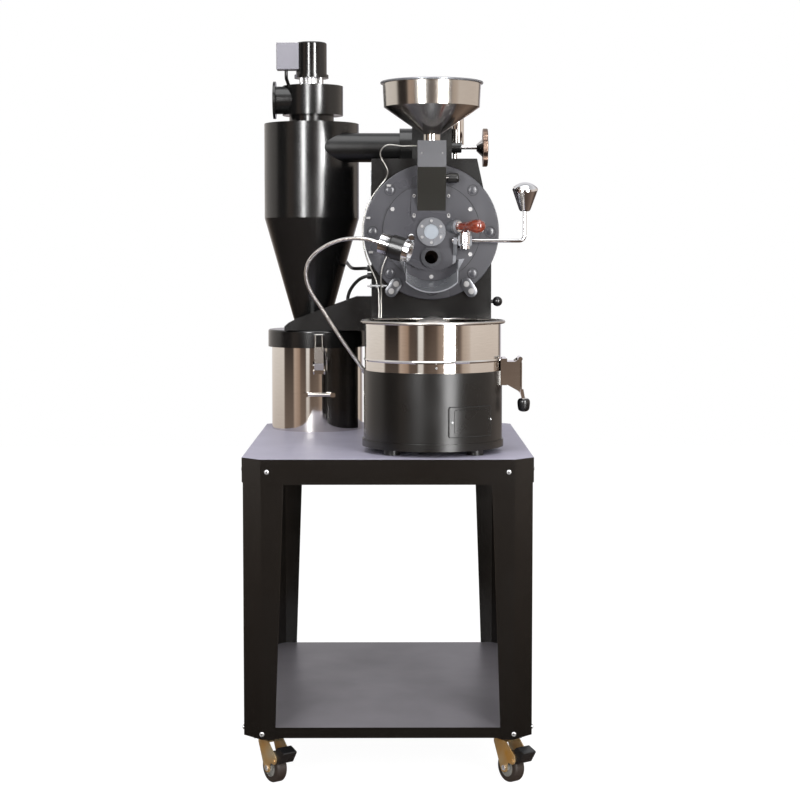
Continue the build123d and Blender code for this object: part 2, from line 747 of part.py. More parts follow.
# Sight glass: bolted ring over a round pane
glass_radius = 22.0
glass_thick = 4.0
with BuildPart() as sight_glass:
    with BuildSketch(plate_section.offset(disc_thickness)):
        with Locations((roast_x, drum_z)):
            Circle(glass_radius - running)
    extrude(amount=glass_thick)
save(sight_glass, "sight_glass")
with BuildPart() as sight_ring:
    with BuildSketch(plate_section.offset(disc_thickness)):
        with Locations((roast_x, drum_z)):
            Circle(sight_radius)
            Circle(glass_radius, mode=Mode.SUBTRACT)
    extrude(amount=glass_thick)
    with BuildSketch(plate_section.offset(disc_thickness + glass_thick)):
        with Locations((roast_x, drum_z)):
            Circle(sight_radius)
            Circle(sight_bore, mode=Mode.SUBTRACT)
    extrude(amount=3)
    with BuildSketch(plate_section.offset(disc_thickness + glass_thick + 3)):
        with Locations((roast_x, drum_z)):
            with PolarLocations((sight_radius + sight_bore) / 2, 6, start_angle=30):
                RegularPolygon(3.6, 6)
    extrude(amount=2.6)
save(sight_ring, "sight_ring")

# Discharge door with its round port and hinge arm, hung from the lever's shaft
hinge_height = deck + 445.0
hinge_y = front_face - 15.0
hinge_shaft = 4.0
door_y = front_face - contact
door_thick = 5.0
port_radius = 23.0
port_bore = 14.5
port_z = deck + 409.4
port_depth = 7.0
strap_left = 143.0
strap_width = 8.0
block_left = strap_left + strap_width + 2
block_width = 30.0
door_section = Plane(origin=(0, door_y, 0), x_dir=(1, 0, 0), z_dir=(0, -1, 0))
with BuildPart() as discharge_door:
    with BuildSketch(door_section):
        with Locations((roast_x, drum_z + 3.6)):
            Circle(door_arc)
        with Locations((roast_x, deck + door_top)):
            Rectangle(2 * door_half, 100, align=(Align.CENTER, Align.MAX), mode=Mode.INTERSECT)
    extrude(amount=door_thick)
    with BuildSketch(door_section.offset(door_thick)):
        with Locations((roast_x, port_z)):
            Circle(port_radius)
        with Locations((roast_x, deck + door_top)):
            Rectangle(2 * door_half, 100, align=(Align.CENTER, Align.MAX), mode=Mode.INTERSECT)
    extrude(amount=port_depth)
    with BuildSketch(door_section):
        with Locations((roast_x, port_z)):
            Circle(port_bore)
    extrude(amount=40, mode=Mode.SUBTRACT)
    arm_section = Plane(origin=(strap_left, 0, 0), x_dir=(0, 1, 0), z_dir=(1, 0, 0))
    with BuildSketch(arm_section):
        with BuildLine():
            Polyline((door_y - door_thick, port_z + 4), (door_y - door_thick - 4, port_z + 4),
                     (hinge_y - 7, hinge_height - 8), (hinge_y - 7, hinge_height + 7),
                     (hinge_y + 7, hinge_height + 7), (hinge_y + 7, hinge_height - 8),
                     (door_y - door_thick, hinge_height - 22), (door_y - door_thick, port_z + 4), close=True)
        make_face()
        with Locations((hinge_y, hinge_height)):
            Circle(hinge_shaft, mode=Mode.SUBTRACT)
    extrude(amount=strap_width)
save(discharge_door, "discharge_door")

# Lever: shaft through the door's arm and the bearing block, bent up to a flared knob
lever_x = 299.0
lever_knob_low = deck + 511.0
knob_small = 13.0
knob_large = 28.0
knob_height = 46.0
knob_tilt = 12.0
shaft_start = strap_left - 3
with BuildPart() as door_lever:
    with BuildLine():
        FilletPolyline((shaft_start, hinge_y, hinge_height), (lever_x, hinge_y, hinge_height),
                       (lever_x, hinge_y, lever_knob_low + 6), radius=12)
    with BuildSketch(Plane(origin=(shaft_start, hinge_y, hinge_height), x_dir=(0, 1, 0), z_dir=(1, 0, 0))):
        Circle(hinge_shaft)
    sweep()
    knob_axis = Vector(0, -sin(radians(knob_tilt)), cos(radians(knob_tilt)))
    knob_base = Vector(lever_x, hinge_y, lever_knob_low)
    flare_section = Plane(origin=knob_base, x_dir=(1, 0, 0), z_dir=Vector(1, 0, 0).cross(knob_axis))
    with BuildSketch(flare_section):
        with BuildLine():
            cone = Polyline((0, 0), (knob_small - 2, 0), (knob_small, 3), (knob_large, knob_height),
                            (knob_large - 1, knob_height + 4))
            dome_r = ((knob_large - 1) ** 2 + 12 ** 2) / 24
            dome_a = atan2(knob_large - 1, dome_r - 12) / 2
            ThreePointArc(cone @ 1, (dome_r * sin(dome_a), knob_height + 16 - dome_r * (1 - cos(dome_a))),
                          (0, knob_height + 16))
            Line((0, knob_height + 16), (0, 0))
        make_face()
    revolve(axis=Axis(knob_base, knob_axis))
save(door_lever, "door_lever")

# Discharge spout under the door, and the lever's bearing block, both bolted to the disc
spout_half = 60.0
spout_sheet = 2.0
spout_reach = 78.0
spout_back_low = deck + 356.0
spout_front_low = deck + 332.0
spout_back_top = deck + 404.0
spout_front_top = deck + 384.0
spout_front_half = 56.0
with BuildPart() as discharge_spout:
    for outset, mode in ((0, Mode.ADD), (spout_sheet, Mode.SUBTRACT)):
        for y, half, low, top in ((front_face, spout_half, spout_back_low, spout_back_top),
                                  (front_face - spout_reach, spout_front_half, spout_front_low,
                                   spout_front_top)):
            y_plane = Plane(origin=(roast_x, y + (outset if y == front_face else -outset), 0),
                            x_dir=(1, 0, 0), z_dir=(0, -1, 0))
            wide = half - outset
            base = low + outset
            shoulder_z = base + 22
            high = top + outset
            with BuildSketch(y_plane):
                with BuildLine():
                    walls = Polyline((-wide, shoulder_z), (-wide, high), (wide, high), (wide, shoulder_z))
                    ThreePointArc(walls @ 1, (0, base), walls @ 0)
                make_face()
        loft(ruled=True, mode=mode)
    for end in (-1, 1):
        with BuildSketch(plate_section.offset(disc_thickness)):
            with BuildLine():
                Polyline((roast_x + end * (spout_half - 1), spout_back_low + 24),
                         (roast_x + end * (spout_half - 1), spout_back_top),
                         (roast_x + end * (spout_half + 13), spout_back_top + 2),
                         (roast_x + end * (spout_half - 1), spout_back_low + 24), close=True)
            make_face()
        extrude(amount=spout_sheet)
save(discharge_spout, "discharge_spout")



# Trier collar and lever block on the disc, and the trier: a sampling scoop that slides in its
# collar, with a turned wooden handle
trier_inside = 62.0
collar_length = 13.0
collar_radius = 15.0
handle_start = 20.0
handle_length = 78.0
trier_origin = trier_plane.origin
trier_axis = Axis(trier_origin, trier_dir)
trier_section = Plane(origin=trier_origin, x_dir=trier_dir, z_dir=trier_dir.cross(Vector(0, 0, 1)))
with BuildPart() as plate_bearings:
    with BuildSketch(trier_plane.offset(-collar_radius)):
        Circle(collar_radius)
        Circle(trier_radius + 0.1, mode=Mode.SUBTRACT)
    extrude(amount=collar_radius + collar_length)
    with BuildSketch(plate_section.offset(disc_thickness)):
        with Locations((roast_x, drum_z)):
            Circle(2 * face_radius)
    extrude(amount=-2 * collar_radius, mode=Mode.SUBTRACT)
    with BuildSketch(plate_section.offset(disc_thickness)):
        with Locations((block_left, hinge_height)):
            RectangleRounded(block_width, 22, 3, align=(Align.MIN, Align.CENTER))
    extrude(amount=front_face - hinge_y + 9)
    with BuildSketch(Plane(origin=(block_left, hinge_y, hinge_height), x_dir=(0, 1, 0), z_dir=(1, 0, 0))):
        Circle(hinge_shaft + running)
    extrude(amount=block_width, mode=Mode.SUBTRACT)
save(plate_bearings, "plate_bearings")
with BuildPart() as trier:
    with BuildSketch(trier_plane.offset(-trier_inside)):
        Circle(trier_radius)
    extrude(amount=trier_inside + handle_start)
    with BuildSketch(trier_plane.offset(-trier_inside + 2)):
        Circle(trier_radius - 1.2)
    extrude(amount=trier_inside - 6, mode=Mode.SUBTRACT)
    with BuildSketch(trier_section):
        with Locations((-trier_inside / 2, trier_radius)):
            Rectangle(trier_inside - 8, 2 * trier_radius - 4)
    extrude(amount=trier_radius * 2, both=True, mode=Mode.SUBTRACT)
    with BuildSketch(trier_plane.offset(collar_length + contact)):
        Circle(trier_radius + 3)
    extrude(amount=5)
save(trier, "trier")
with BuildPart() as trier_handle:
    with BuildSketch(trier_section):
        with BuildLine():
            grip = Line((handle_start, 0), (handle_start, 8))
            curve = Spline(grip @ 1, (handle_start + 22, 9.5), (handle_start + 52, 15),
                           (handle_start + 70, 12.5), (handle_start + handle_length, 0),
                           tangents=((1, 0.1), (0, -1)))
            Line(curve @ 1, grip @ 0)
        make_face()
    revolve(axis=trier_axis)
save(trier_handle, "trier_handle")

# Feed chute: a folded duct from the hopper down to the feed hole, with a flange
chute_back = front_face
chute_front = chute_back - chute_reach
chute_sheet = 2.0
side_section = Plane(origin=(roast_x, 0, 0), x_dir=(0, 1, 0), z_dir=(1, 0, 0))
slot_drop = 1.5
gate_blade = 2.0
flange_half = 45.0
flange_low = 491.0
flange_high = 549.0
with BuildPart() as feed_chute:
    with BuildSketch(side_section):
        with BuildLine():
            Polyline((chute_back, deck + chute_foot), (chute_front, deck + chute_knee),
                     (chute_front, deck + chute_top), (chute_back, deck + chute_top),
                     (chute_back, deck + chute_foot), close=True)
        make_face()
    extrude(amount=chute_half, both=True)
    with BuildSketch(plate_section.offset(disc_thickness)):
        with Locations((roast_x, deck + (flange_low + flange_high) / 2)):
            RectangleRounded(2 * flange_half, flange_high - flange_low, 9)
        with Locations((roast_x, drum_z)):
            Circle(sight_radius + 1, mode=Mode.SUBTRACT)
    extrude(amount=3)
    with BuildSketch(side_section):
        with BuildLine():
            Polyline((chute_back + 1, deck + chute_foot + 6), (chute_back - 3, deck + chute_foot + 6),
                     (chute_front + chute_sheet, deck + chute_knee + 1),
                     (chute_front + chute_sheet, deck + chute_top - chute_sheet),
                     (chute_back - chute_sheet, deck + chute_top - chute_sheet),
                     (chute_back - chute_sheet, deck + feed_high),
                     (chute_back + 1, deck + feed_high), (chute_back + 1, deck + chute_foot + 6), close=True)
        make_face()
    extrude(amount=chute_half - chute_sheet, both=True, mode=Mode.SUBTRACT)
    with BuildSketch(Plane.XY.offset(deck + chute_top)):
        with Locations((roast_x, hopper_y)):
            Circle(neck_radius - 1)
    extrude(amount=-10, mode=Mode.SUBTRACT)
    with BuildSketch(Plane.XY.offset(deck + gate_height - slot_drop)):
        with Locations((roast_x, chute_back - chute_sheet)):
            Rectangle(chute_half + 10, chute_reach * 0.62, align=(Align.MIN, Align.MAX))
    extrude(amount=2 * slot_drop, mode=Mode.SUBTRACT)
    for end in (-1, 1):
        for height in (flange_low + 8, flange_high - 5):
            with BuildSketch(plate_section.offset(disc_thickness + 3)):
                with Locations((roast_x + end * (flange_half - 7), deck + height)):
                    RegularPolygon(3.8, 6)
            extrude(amount=2.6)
save(feed_chute, "feed_chute")

# Slide gate: a flat blade through the chute's right wall, with a black barrel knob
blade_back = chute_back - chute_sheet - contact
blade_deep = chute_reach * 0.62 - 3 * contact
with BuildPart() as slide_gate:
    with BuildSketch(Plane.XY.offset(deck + gate_height - gate_blade / 2)):
        with Locations((roast_x - chute_half + chute_sheet + contact, blade_back)):
            Rectangle(2 * chute_half + 3, blade_deep, align=(Align.MIN, Align.MAX))
    extrude(amount=gate_blade)
    knob_start = roast_x + chute_half + 1.0
    with BuildSketch(Plane(origin=(knob_start, blade_back - blade_deep / 2, deck + gate_height),
                           x_dir=(0, 1, 0), z_dir=(1, 0, 0))):
        Circle(9)
    extrude(amount=4)
    with BuildSketch(Plane(origin=(knob_start + 4, blade_back - blade_deep / 2, deck + gate_height),
                           x_dir=(0, 1, 0), z_dir=(1, 0, 0))):
        Circle(11)
    extrude(amount=24)
    fillet(slide_gate.faces().sort_by(Axis.X)[-1].edges(), 5)
save(slide_gate, "slide_gate")

# Hopper: spun cylinder, cone and neck with a rolled rim
hopper_axis = Axis((roast_x, hopper_y, 0), (0, 0, 1))
hopper_section = Plane(origin=(roast_x, hopper_y, 0), x_dir=(1, 0, 0), z_dir=(0, -1, 0))
hopper_wall = 1.5
hopper_rim = deck + hopper_rim_height
cone_top = hopper_rim - hopper_drum
cone_foot = deck + chute_top + 14
hopper_side = hopper_radius - 5.0
with BuildPart() as hopper:
    with BuildSketch(hopper_section):
        with BuildLine():
            Polyline((neck_radius, deck + chute_top), (neck_radius, cone_foot), (hopper_side - 2.5, cone_top),
                     (hopper_side, hopper_rim - 4), (hopper_radius - 2.5, hopper_rim - 3.5),
                     (hopper_radius - 2.5, hopper_rim - 2), (hopper_side - hopper_wall, hopper_rim - 2.5),
                     (hopper_side - 2.5 - hopper_wall, cone_top + 1),
                     (neck_radius - hopper_wall, cone_foot + 0.8),
                     (neck_radius - hopper_wall, deck + chute_top), close=True)
        make_face()
        with Locations((hopper_radius - 2.5, hopper_rim - 2.5)):
            Circle(2.5)
    revolve(axis=hopper_axis)
save(hopper, "hopper")

# Drum: perforated-end cylinder with mixing vanes on a shaft through the rear wall
drum_front = body_front + 2.0
drum_back = drum_front + drum_length
shaft_end = casing_back + 12.0
hub_length = 26.0
drum_section = Plane(origin=(roast_x, drum_back, drum_z), x_dir=(1, 0, 0), z_dir=(0, -1, 0))
with BuildPart() as drum:
    with BuildSketch(drum_section):
        Circle(drum_radius)
        Circle(drum_radius - drum_wall, mode=Mode.SUBTRACT)
    extrude(amount=drum_length)
    with BuildSketch(drum_section):
        Circle(drum_radius)
        with PolarLocations(drum_radius * 0.62, 8):
            Circle(15, mode=Mode.SUBTRACT)
    extrude(amount=5)
    with BuildSketch(drum_section):
        Circle(2.2 * shaft_radius)
    extrude(amount=hub_length)
    with BuildSketch(drum_section):
        Circle(shaft_radius)
    extrude(amount=-(shaft_end - drum_back))
    for vane in range(4):
        turn = radians(vane * 90 + 20)
        vane_plane = Plane(origin=(roast_x, drum_back, drum_z), x_dir=(cos(turn), 0, sin(turn)),
                           z_dir=(0, -1, 0))
        with BuildSketch(vane_plane):
            with Locations((drum_radius - drum_wall - 10, 0)):
                Rectangle(22, 3, rotation=20)
        extrude(amount=drum_length - 8)
save(drum, "drum")

# Heater: four straight rods joined by a terminal bar under the drum
with BuildPart() as heater:
    for offset_x in heater_x:
        with BuildSketch(front_section.offset(-12)):
            with Locations((roast_x + offset_x, heater_z - 13)):
                Circle(heater_rod)
        extrude(amount=-(drum_length - 20))
    with BuildSketch(front_section.offset(-12 - drum_length + 20)):
        with Locations((roast_x, heater_z - 13)):
            Rectangle(96, 14)
    extrude(amount=-(casing_back - rear_wall - body_front - 12 - drum_length + 20))
save(heater, "heater")

# Drum drive: gear motor flanged to the back wall
drive_radius = 42.0
with BuildPart() as drum_motor:
    with BuildSketch(Plane(origin=(roast_x, casing_back, drum_z), x_dir=(-1, 0, 0), z_dir=(0, 1, 0))):
        RectangleRounded(104, 104, 8)
    extrude(amount=34)
    with BuildSketch(Plane(origin=(roast_x, casing_back + 34, drum_z + 14), x_dir=(-1, 0, 0),
                           z_dir=(0, 1, 0))):
        Circle(drive_radius)
    extrude(amount=72)
    fillet(drum_motor.faces().sort_by(Axis.Y)[-1].edges(), 4)
    with BuildSketch(Plane(origin=(roast_x, casing_back, drum_z), x_dir=(-1, 0, 0), z_dir=(0, 1, 0))):
        Circle(shaft_radius + running)
    extrude(amount=shaft_end - casing_back + 1, mode=Mode.SUBTRACT)
save(drum_motor, "drum_motor")

# Side knob low on the body's right wall, on a stem through the wall
with BuildPart() as body_knob:
    with BuildSketch(knob_section.offset(-body_wall - 6)):
        Circle(knob_stem)
    extrude(amount=body_wall + 6 + 8)
    with Locations((body_right + 15, knob_y, knob_z)):
        Sphere(11)
save(body_knob, "body_knob")

# Exhaust box on the casing, with the pipe flange and the damper's gland
box_left = 55.0
box_right = 147.0
box_half = 44.0
box_front = pipe_y - box_half
box_back = pipe_y + box_half
box_top = pipe_height + 46
box_wall = 3.0
pipe_z = deck + pipe_height
flange_left = 26.0
pipe_flange_radius = 44.5
spindle_radius = 4.0
gland_end = 171.0
damper_section = Plane(origin=(0, pipe_y, pipe_z), x_dir=(0, 1, 0), z_dir=(1, 0, 0))
with BuildPart() as exhaust_box:
    with BuildSketch(Plane.XY.offset(casing_top_z)):
        with Locations((box_left, box_front)):
            Rectangle(box_right - box_left, box_back - box_front, align=(Align.MIN, Align.MIN))
    extrude(amount=deck + box_top - casing_top_z)
    with BuildSketch(Plane.XY.offset(casing_top_z)):
        with Locations((box_left + box_wall, box_front + box_wall)):
            Rectangle(box_right - box_left - 2 * box_wall, box_back - box_front - 2 * box_wall,
                      align=(Align.MIN, Align.MIN))
    extrude(amount=deck + box_top - casing_top_z - box_wall, mode=Mode.SUBTRACT)
    with BuildSketch(damper_section.offset(flange_left)):
        Circle(pipe_flange_radius)
    extrude(amount=box_left - flange_left)
    with BuildSketch(damper_section.offset(box_right)):
        Circle(12)
    extrude(amount=gland_end - box_right)
    fillet(exhaust_box.faces().sort_by(Axis.X)[-1].edges(), 2)
    with BuildSketch(Plane.XY.offset(casing_top_z)):
        with Locations((flange_left, pipe_y)):
            Rectangle(4 * pipe_flange_radius, 4 * pipe_flange_radius)
    extrude(amount=-pipe_flange_radius, mode=Mode.SUBTRACT)
    with BuildSketch(damper_section.offset(flange_left)):
        Circle(pipe_radius)
    extrude(amount=box_left - flange_left + box_wall, mode=Mode.SUBTRACT)
    with BuildSketch(damper_section.offset(box_right - box_wall)):
        Circle(spindle_radius + running)
    extrude(amount=gland_end - box_right + box_wall + 1, mode=Mode.SUBTRACT)
save(exhaust_box, "exhaust_box")

# Damper: a disc on the threaded spindle, and the lobed handwheel that drives it
damper_x = 104.0
damper_radius = 38.0
damper_nut = 10.0
wheel_hub = 206.0
wheel_left = 221.0
wheel_width = 11.0
wheel_radius = 45.0
with BuildPart() as damper_plate:
    with BuildSketch(damper_section.offset(damper_x)):
        Circle(damper_radius)
    extrude(amount=3)
    with BuildSketch(damper_section.offset(damper_x)):
        Circle(damper_nut)
    extrude(amount=14)
    with BuildSketch(damper_section.offset(damper_x)):
        Circle(spindle_radius + running)
    extrude(amount=14, mode=Mode.SUBTRACT)
save(damper_plate, "damper_plate")
with BuildPart() as handwheel:
    with BuildSketch(damper_section.offset(box_left + box_wall + 1)):
        Circle(spindle_radius)
    extrude(amount=wheel_left - box_left - box_wall - 1)
    with BuildSketch(damper_section.offset(wheel_hub)):
        Circle(8)
    with BuildSketch(damper_section.offset(wheel_left + 2)):
        Circle(24)
    loft()
    with BuildSketch(damper_section.offset(wheel_left)):
        Circle(wheel_radius)
        with PolarLocations(wheel_radius + 7, 6, start_angle=30):
            Circle(13, mode=Mode.SUBTRACT)
        with PolarLocations(wheel_radius * 0.62, 6):
            Circle(6.5, mode=Mode.SUBTRACT)
    extrude(amount=wheel_width)
    fillet(handwheel.faces().sort_by(Axis.X)[-1].outer_wire().edges(), 2.5)
save(handwheel, "handwheel")

# Vent stack behind the gland, on a thin stem
vent_x = 163.0
vent_y = 222.0
vent_tube_radius = 15.0
vent_low = 674.0
vent_high = 749.0
with BuildPart() as vent_stack:
    with BuildSketch(Plane.XY.offset(deck + vent_low)):
        with Locations((vent_x, vent_y)):
            Circle(vent_tube_radius)
    extrude(amount=vent_high - vent_low)
    with BuildSketch(Plane.XY.offset(deck + vent_low + 3)):
        with Locations((vent_x, vent_y)):
            Circle(vent_tube_radius - 1.5)
    extrude(amount=vent_high - vent_low, mode=Mode.SUBTRACT)
    with BuildSketch(Plane.XY.offset(casing_top_z)):
        with Locations((vent_x - 6, vent_y)):
            Circle(5)
    extrude(amount=deck + vent_low + 3 - casing_top_z)
save(vent_stack, "vent_stack")

# Cyclone: cylinder, cone and neck with the inlet pipe welded into its side
cyclone_section = Plane(origin=(cyclone_x, cyclone_y, 0), x_dir=(1, 0, 0), z_dir=(0, -1, 0))
cyclone_axis = Axis((cyclone_x, cyclone_y, 0), (0, 0, 1))
collar_wide = 53.0
outlet_radius = 36.0
with BuildPart() as cyclone:
    with BuildSketch(cyclone_section):
        with BuildLine():
            Polyline((0, deck + lid_top), (cone_radius, deck + lid_top), (cone_radius, deck + cone_bottom),
                     (cyclone_radius, deck + cyclone_bottom), (cyclone_radius, deck + cyclone_top),
                     (collar_wide, deck + cyclone_top), (collar_wide, deck + blower_bottom),
                     (0, deck + blower_bottom), (0, deck + lid_top), close=True)
        make_face()
    revolve(axis=cyclone_axis)
    with BuildSketch(damper_section.offset(cyclone_x)):
        Circle(pipe_radius)
    extrude(amount=flange_left - cyclone_x)
    with BuildSketch(cyclone_section):
        with BuildLine():
            inner = cyclone_wall
            Polyline((0, deck + lid_top - 1), (cone_radius - inner, deck + lid_top - 1),
                     (cone_radius - inner, deck + cone_bottom),
                     (cyclone_radius - inner, deck + cyclone_bottom),
                     (cyclone_radius - inner, deck + cyclone_top - inner),
                     (outlet_radius, deck + cyclone_top - inner), (outlet_radius, deck + blower_bottom + 1),
                     (0, deck + blower_bottom + 1), (0, deck + lid_top - 1), close=True)
        make_face()
    revolve(axis=cyclone_axis, mode=Mode.SUBTRACT)
    with BuildSketch(damper_section.offset(flange_left)):
        Circle(pipe_radius - cyclone_wall)
    extrude(amount=cyclone_x + cyclone_radius - 40 - flange_left, mode=Mode.SUBTRACT)
save(cyclone, "cyclone")

# Blower: spiral housing with a round outlet, impeller inside and motor on posts above
blower_wall = 2.5
blower_x = cyclone_x + 3.0
blower_z = deck + blower_bottom
outlet_reach = 89.0
outlet_x = cyclone_x - outlet_reach
outlet_height = deck + (blower_bottom + blower_top) / 2
outlet_pipe = 30.0
outlet_flange = 44.0
outlet_seat = 18.0
outlet_throat = outlet_pipe - 3.0
impeller_radius = 54.0
impeller_height = 40.0
motor_shaft = 6.0
outlet_section = Plane(origin=(outlet_x, cyclone_y - 22, outlet_height), x_dir=(0, 1, 0), z_dir=(1, 0, 0))
with BuildPart() as blower_housing:
    with BuildSketch(Plane.XY.offset(blower_z)):
        with Locations((blower_x, cyclone_y)):
            Circle(blower_radius)
    extrude(amount=blower_top - blower_bottom)
    with BuildSketch(outlet_section):
        Circle(outlet_pipe + blower_wall)
    extrude(amount=60)
    with BuildSketch(Plane.XY.offset(blower_z + blower_wall)):
        with Locations((blower_x, cyclone_y)):
            Circle(blower_radius - blower_wall)
    extrude(amount=blower_top - blower_bottom - 2 * blower_wall, mode=Mode.SUBTRACT)
    with BuildSketch(outlet_section):
        Circle(outlet_flange)
        Circle(outlet_pipe, mode=Mode.SUBTRACT)
        with PolarLocations((outlet_flange + outlet_pipe) / 2 + 1.5, 6):
            Circle(2.6, mode=Mode.SUBTRACT)
    extrude(amount=6)
    with BuildSketch(outlet_section):
        Circle(outlet_pipe)
    extrude(amount=outlet_seat, mode=Mode.SUBTRACT)
    with BuildSketch(outlet_section):
        Circle(outlet_throat)
    extrude(amount=60, mode=Mode.SUBTRACT)
    with BuildSketch(Plane.XY.offset(blower_z)):
        with Locations((cyclone_x, cyclone_y)):
            Circle(outlet_radius)
    extrude(amount=blower_wall, mode=Mode.SUBTRACT)
    with BuildSketch(Plane.XY.offset(deck + blower_top)):
        with Locations((cyclone_x, cyclone_y)):
            Circle(motor_shaft + 1)
    extrude(amount=-blower_wall, mode=Mode.SUBTRACT)
save(blower_housing, "blower_housing")

with BuildPart() as blower_impeller:
    with BuildSketch(Plane.XY.offset(deck + blower_top - blower_wall - 4)):
        with Locations((cyclone_x, cyclone_y)):
            Circle(impeller_radius)
    extrude(amount=-3)
    with BuildSketch(Plane.XY.offset(deck + blower_top - blower_wall - 4)):
        with Locations((cyclone_x, cyclone_y)):
            with PolarLocations(impeller_radius - 12, 10):
                Rectangle(22, 3, rotation=35)
    extrude(amount=-impeller_height)
    with BuildSketch(Plane.XY.offset(deck + blower_top - blower_wall - 4)):
        with Locations((cyclone_x, cyclone_y)):
            Circle(14)
    extrude(amount=-18)
    with BuildSketch(Plane.XY.offset(deck + blower_top - blower_wall - 10)):
        with Locations((cyclone_x, cyclone_y)):
            Circle(motor_shaft)
    extrude(amount=motor_bottom - blower_top + blower_wall + 30)
save(blower_impeller, "blower_impeller")

# Blower motor: finned skirt on four posts, smooth can and terminal box
post_ring = 32.0
terminal_left = -265.0
terminal_low = motor_bottom + 12
terminal_high = motor_top - 2
with BuildPart() as blower_motor:
    with BuildSketch(Plane.XY.offset(deck + motor_bottom)):
        with Locations((cyclone_x, cyclone_y)):
            Circle(motor_radius)
    extrude(amount=motor_top - motor_bottom)
    fillet(blower_motor.faces().sort_by(Axis.Z)[-1].edges(), 4)
    with BuildSketch(Plane.XY.offset(deck + motor_bottom - 8)):
        with Locations((cyclone_x, cyclone_y)):
            Circle(motor_radius + 4)
    extrude(amount=8)
    with BuildSketch(Plane.XY.offset(deck + blower_top)):
        with Locations((cyclone_x, cyclone_y)):
            with PolarLocations(post_ring, 4, start_angle=45):
                Circle(5)
    extrude(amount=motor_bottom - blower_top)
    with BuildSketch(Plane.XY.offset(deck + blower_top)):
        with Locations((cyclone_x, cyclone_y)):
            Circle(22)
            with PolarLocations(22, 12):
                Rectangle(8, 2.5)
    extrude(amount=motor_bottom - blower_top - 4)
    with BuildSketch(Plane.XY.offset(deck + terminal_low)):
        with Locations((terminal_left, cyclone_y)):
            RectangleRounded(cyclone_x - terminal_left - motor_radius + 12, 44, 2,
                             align=(Align.MIN, Align.CENTER))
    extrude(amount=terminal_high - terminal_low)
    with BuildSketch(Plane.XY.offset(deck + blower_top)):
        with Locations((cyclone_x, cyclone_y)):
            Circle(motor_shaft + running)
    extrude(amount=motor_bottom - blower_top + 26, mode=Mode.SUBTRACT)
save(blower_motor, "blower_motor")

# Chaff barrel: straight steel can with a fixed handle bar and a latch bracket
barrel_at = Vector(barrel_x, cyclone_y, deck)
barrel_wall = 1.5
bracket_x = barrel_x + 9.0
bracket_y = cyclone_y - barrel_radius
latch_pivot_z = deck + 152.0
latch_pivot_y = bracket_y - 9.0
latch_pin = 2.5
latch_half = 11.0
handle_z = deck + 88.0
handle_half = 32.0
bracket_section = Plane(origin=(bracket_x, 0, 0), x_dir=(0, 1, 0), z_dir=(1, 0, 0))
with BuildPart() as barrel:
    with BuildSketch(Plane(origin=barrel_at)):
        Circle(barrel_radius)
    extrude(amount=barrel_height)
    with BuildSketch(Plane(origin=barrel_at + Vector(0, 0, barrel_wall))):
        Circle(barrel_radius - barrel_wall)
    extrude(amount=barrel_height, mode=Mode.SUBTRACT)
    with BuildSketch(bracket_section):
        with BuildLine():
            Polyline((bracket_y + 1, latch_pivot_z - 16), (bracket_y - 2, latch_pivot_z - 16),
                     (latch_pivot_y - 4, latch_pivot_z - 4), (latch_pivot_y - 4, latch_pivot_z + 4),
                     (bracket_y - 2, latch_pivot_z + 14), (bracket_y + 1, latch_pivot_z + 14),
                     (bracket_y + 1, latch_pivot_z - 16), close=True)
        make_face()
    extrude(amount=latch_half + 3, both=True)
    with BuildSketch(bracket_section):
        with Locations((bracket_y - 2 - 20, latch_pivot_z)):
            Rectangle(40, 80)
    extrude(amount=latch_half, both=True, mode=Mode.SUBTRACT)
    with BuildSketch(bracket_section):
        with Locations((latch_pivot_y, latch_pivot_z)):
            Circle(latch_pin)
    extrude(amount=latch_half + 3, both=True)
    for end in (-1, 1):
        with BuildSketch(Plane(origin=(bracket_x + end * handle_half, bracket_y + 8, handle_z),
                               x_dir=(1, 0, 0), z_dir=(0, -1, 0))):
            RectangleRounded(12, 10, 3)
        extrude(amount=24)
    with BuildSketch(Plane(origin=(bracket_x - handle_half, bracket_y - 12, handle_z),
                           x_dir=(0, 1, 0), z_dir=(1, 0, 0))):
        Circle(3.5)
    extrude(amount=2 * handle_half)
    with BuildSketch(Plane(origin=barrel_at + Vector(0, 0, barrel_wall))):
        Circle(barrel_radius - barrel_wall)
    extrude(amount=barrel_height, mode=Mode.SUBTRACT)
save(barrel, "barrel")

